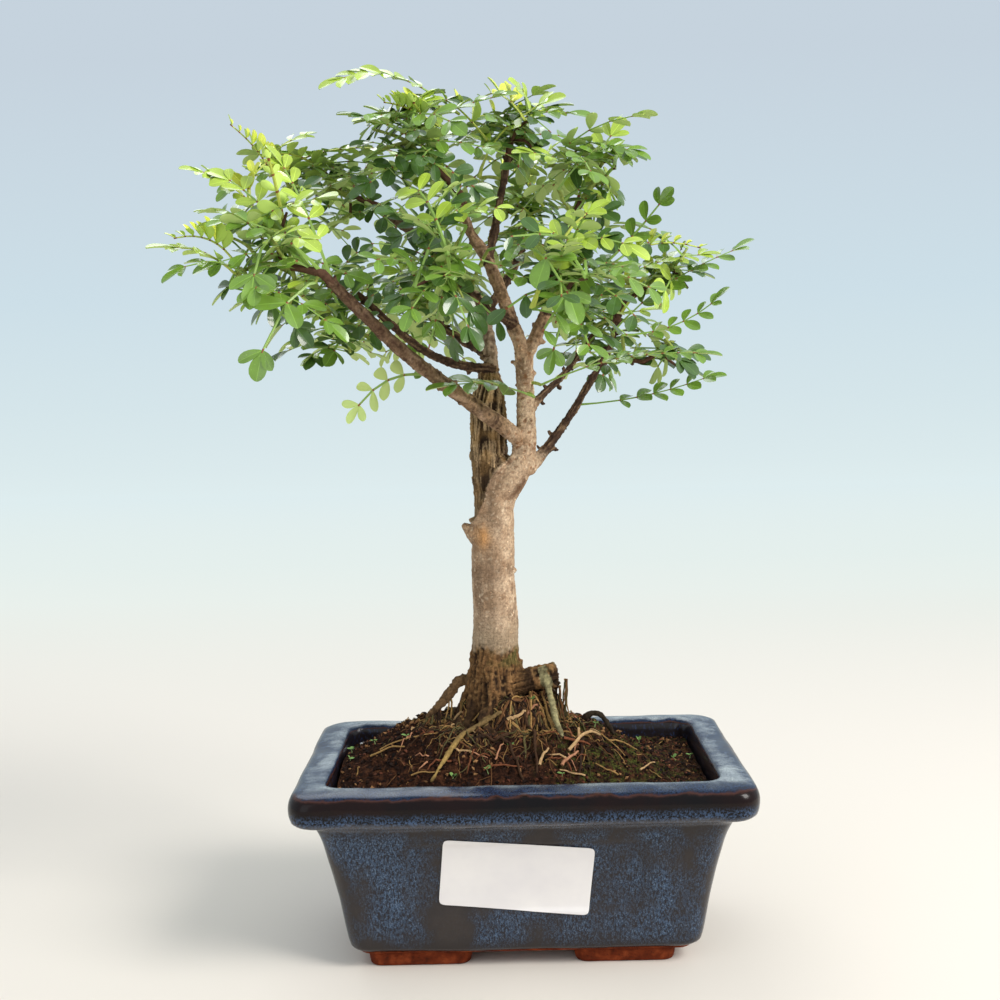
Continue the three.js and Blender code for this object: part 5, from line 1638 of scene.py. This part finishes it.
def deal_places(order, count, depth, random):
    """Places dealt evenly over a mass's egg shape, pulled in where a neighbour is nearer."""
    places = []
    for step in range(count):
        z = 1 - 2 * (step + 0.5) / count
        angle = step * math.pi * (3 - math.sqrt(5)) + random() * 0.4
        ring = math.sqrt(1 - z * z)
        out = np.array((ring * math.cos(angle), ring * math.sin(angle), z))
        share = depth
        while share > 0.42:
            where = (MIDDLES[order] + out * REACHES[order] * share)[None]
            if is_in_space(order, where)[0] and is_in_outline(where)[0]:
                break
            share -= 0.06
        if share < 0.6 * depth and random() < 0.5:
            continue
        share *= 1 - (0.3 if share < depth else 0.16) * random() ** 2
        places.append(Vector(MIDDLES[order] + out * REACHES[order] * share))
    return places


def deal_spray(height, random):
    """Young leaves are commoner at the top and at the outer ends, dark ones below and inside: partly the leaves'
    own age, partly painted light and shade.
    """
    chance = random() + 0.2 * height
    for spray, limit in (("dark", 0.42), ("mid", 0.8), ("light", 1.0), ("young", 1.14)):
        if chance < limit:
            return spray
    return "shoot"


def grow_mass(order, twig_count=6):
    """Stem, side twigs and leaves of one mass: two lists of forms, woody and green."""
    name, limb, middle, reach, leaf_count = MASSES[order]
    random = make_random(GROWTH_SEED + 97 * (order + 1))
    tip, heading, radius = limb_tip(limb)
    bend = tip + heading * 4.3
    stem = [tip - heading * 1.5, tip, bend, *arch(bend, Vector(middle), 1, 6)[1:]]
    wood = [tip, bend, *stem[3:]]
    twigs, leaves = [], []
    count = len(stem) - 1
    rounds = [
        (where, (radius + (TWIG_RADIUS - radius) * step / count) * (0.88 + 0.26 * random()))
        for step, where in enumerate(stem)]
    twigs += [thread(rounds[:6], 0, 7), thread(rounds[5:], 1, 7)]
    for target in deal_places(order, twig_count, 0.5, random):
        foot = min(wood[: len(stem)], key=lambda where: (where - target).length)
        if (target - foot).length < 5:
            continue
        sway = Vector((random() - 0.5, random() - 0.5, random() * 0.6)) * 5
        bent = [foot, foot.lerp(target, 0.35) + sway * 0.7, foot.lerp(target, 0.7) + sway * 0.5, target]
        line = [Vector(row) for row in smooth_line([tuple(where) for where in bent], 2.0)]
        if not is_clear_of_wood(np.array([tuple(where) for where in line[3:]]), 0.8).all():
            continue
        tint = 1 if random() < 0.85 else 0
        tapered = [
            (where, (0.72 - 0.3 * step / len(line)) * (0.88 + 0.26 * random()))
            for step, where in enumerate(line)]
        twigs.append(thread(tapered, tint, 6))
        wood += [line[len(line) // 2], line[-1]]
    leaves_on = {}

    def add_rule_leaf(target, low, high, inner=False):
        """A leaf that reaches for a place from the wood that suits it best, if it is free."""
        wanted = low + (high - low) * random()

        def cost(where):
            """How badly a leaf would sit: too long or short, too steep, or on a crowded foot."""
            run = target - where
            slope = run.z / max(run.length, 1)
            steep = max(slope - 0.35, -0.3 - slope, 0)
            return abs(run.length - wanted) + 40 * steep + 1.2 * leaves_on.get(tuple(where), 0)

        foot = min(wood, key=cost)
        gap = (target - foot).length
        if gap < 13:
            return
        base = foot.lerp(target, max(0.0, 1 - high / gap))
        length = (target - base).length
        top = (base + target) / 2 + Vector((0, 0, length * (0.1 + 0.26 * random())))
        ahead = (target - base).normalized()
        outward = Vector((target.x - TRUNK_X, target.y, 0)).normalized() * 0.45 + Vector((0, -0.3, 0))
        roll = (random() - 0.5) * (0.8 if random() < 0.8 else 2.0)
        normal = Matrix.Rotation(roll, 3, ahead) @ (Vector((0, 0, 1)) + outward).normalized()
        pairs = min(max(round(length * 0.66 / 5.6), 2), 6)
        # Leaves high up and far out take paler tints, partly young growth and partly painted light; leaves deep
        # inside the crown all take the dark tint, painted shade.
        lightness = 1.7 * ease(abs(target.x - TRUNK_X), 30, 80) + 1.5 * ease(target.z, 258, 286) - 0.65
        spray = "dark" if inner else deal_spray((target.z - middle[2]) / reach[2] + lightness, random)
        probes = np.array([tuple(base.lerp(top, 0.8)), tuple(target)])
        if not is_clear_of_wood(probes, 0.9).all():
            return
        forms = grow_leaf(base, top, target, pairs, normal, spray, random, order)
        if not forms:
            return
        leaves_on[tuple(foot)] = leaves_on.get(tuple(foot), 0) + 1
        if (base - foot).length > 1:
            twigs.append(thread([(foot, 0.6), (base, 0.5)], 1, 5))
        leaves.extend(forms)

    for target in deal_places(order, leaf_count, 0.97, random):
        add_rule_leaf(target, 32, 50)
    for target in deal_places(order, leaf_count // 4, 0.68, random):
        add_rule_leaf(target, 22, 34, True)
    for leaf_mass, foot, top, end, pairs, face, spray, *leaflet in SINGLE_LEAVES:
        if "leaves_" + leaf_mass != name:
            continue
        foot, top, end = Vector(foot), Vector(top), Vector(end)
        nearest = min(wood, key=lambda where: (where - foot).length)
        gaps = np.linalg.norm(WOOD_PLACES - np.array(foot), axis=1)
        if gaps.min() < (nearest - foot).length:
            nearest = Vector(WOOD_PLACES[int(gaps.argmin())])
        side = Vector((0, -face, 1)).normalized()
        long = leaflet[0] if leaflet else 8.0
        leaves.extend(grow_leaf(foot, top, end, pairs, side, spray, random, leaflet_length=long))
        if (nearest - foot).length > 0.8:
            shoot = arch(nearest, foot, 1.5, 5)
            twigs.append(thread([(where, 0.75 - 0.2 * step / 5) for step, where in enumerate(shoot)], 1, 6))
    return twigs, leaves


# %% Twigs and leaves of every mass
twig_finishes = [
    plain_finish("twig_brown", srgb(92, 66, 52)), plain_finish("twig_green", srgb(152, 164, 84), 0.6)]
leaf_total = 0
for order, (name, *_) in enumerate(MASSES):
    twigs, leaves = grow_mass(order)
    twig_piece = join_forms("twigs" + name[6:], twigs, twig_finishes)
    leaf_piece = join_forms("fine_" + name, leaves, leaf_finishes)
    for piece in (twig_piece, leaf_piece):
        make_active(piece)
        bpy.ops.object.shade_smooth_by_angle(angle=math.radians(55))
    finish_piece(twig_piece, [name])
    finish_piece(leaf_piece, [name])
    leaf_total += len(leaves)
print("leaflets and ribs:", leaf_total)
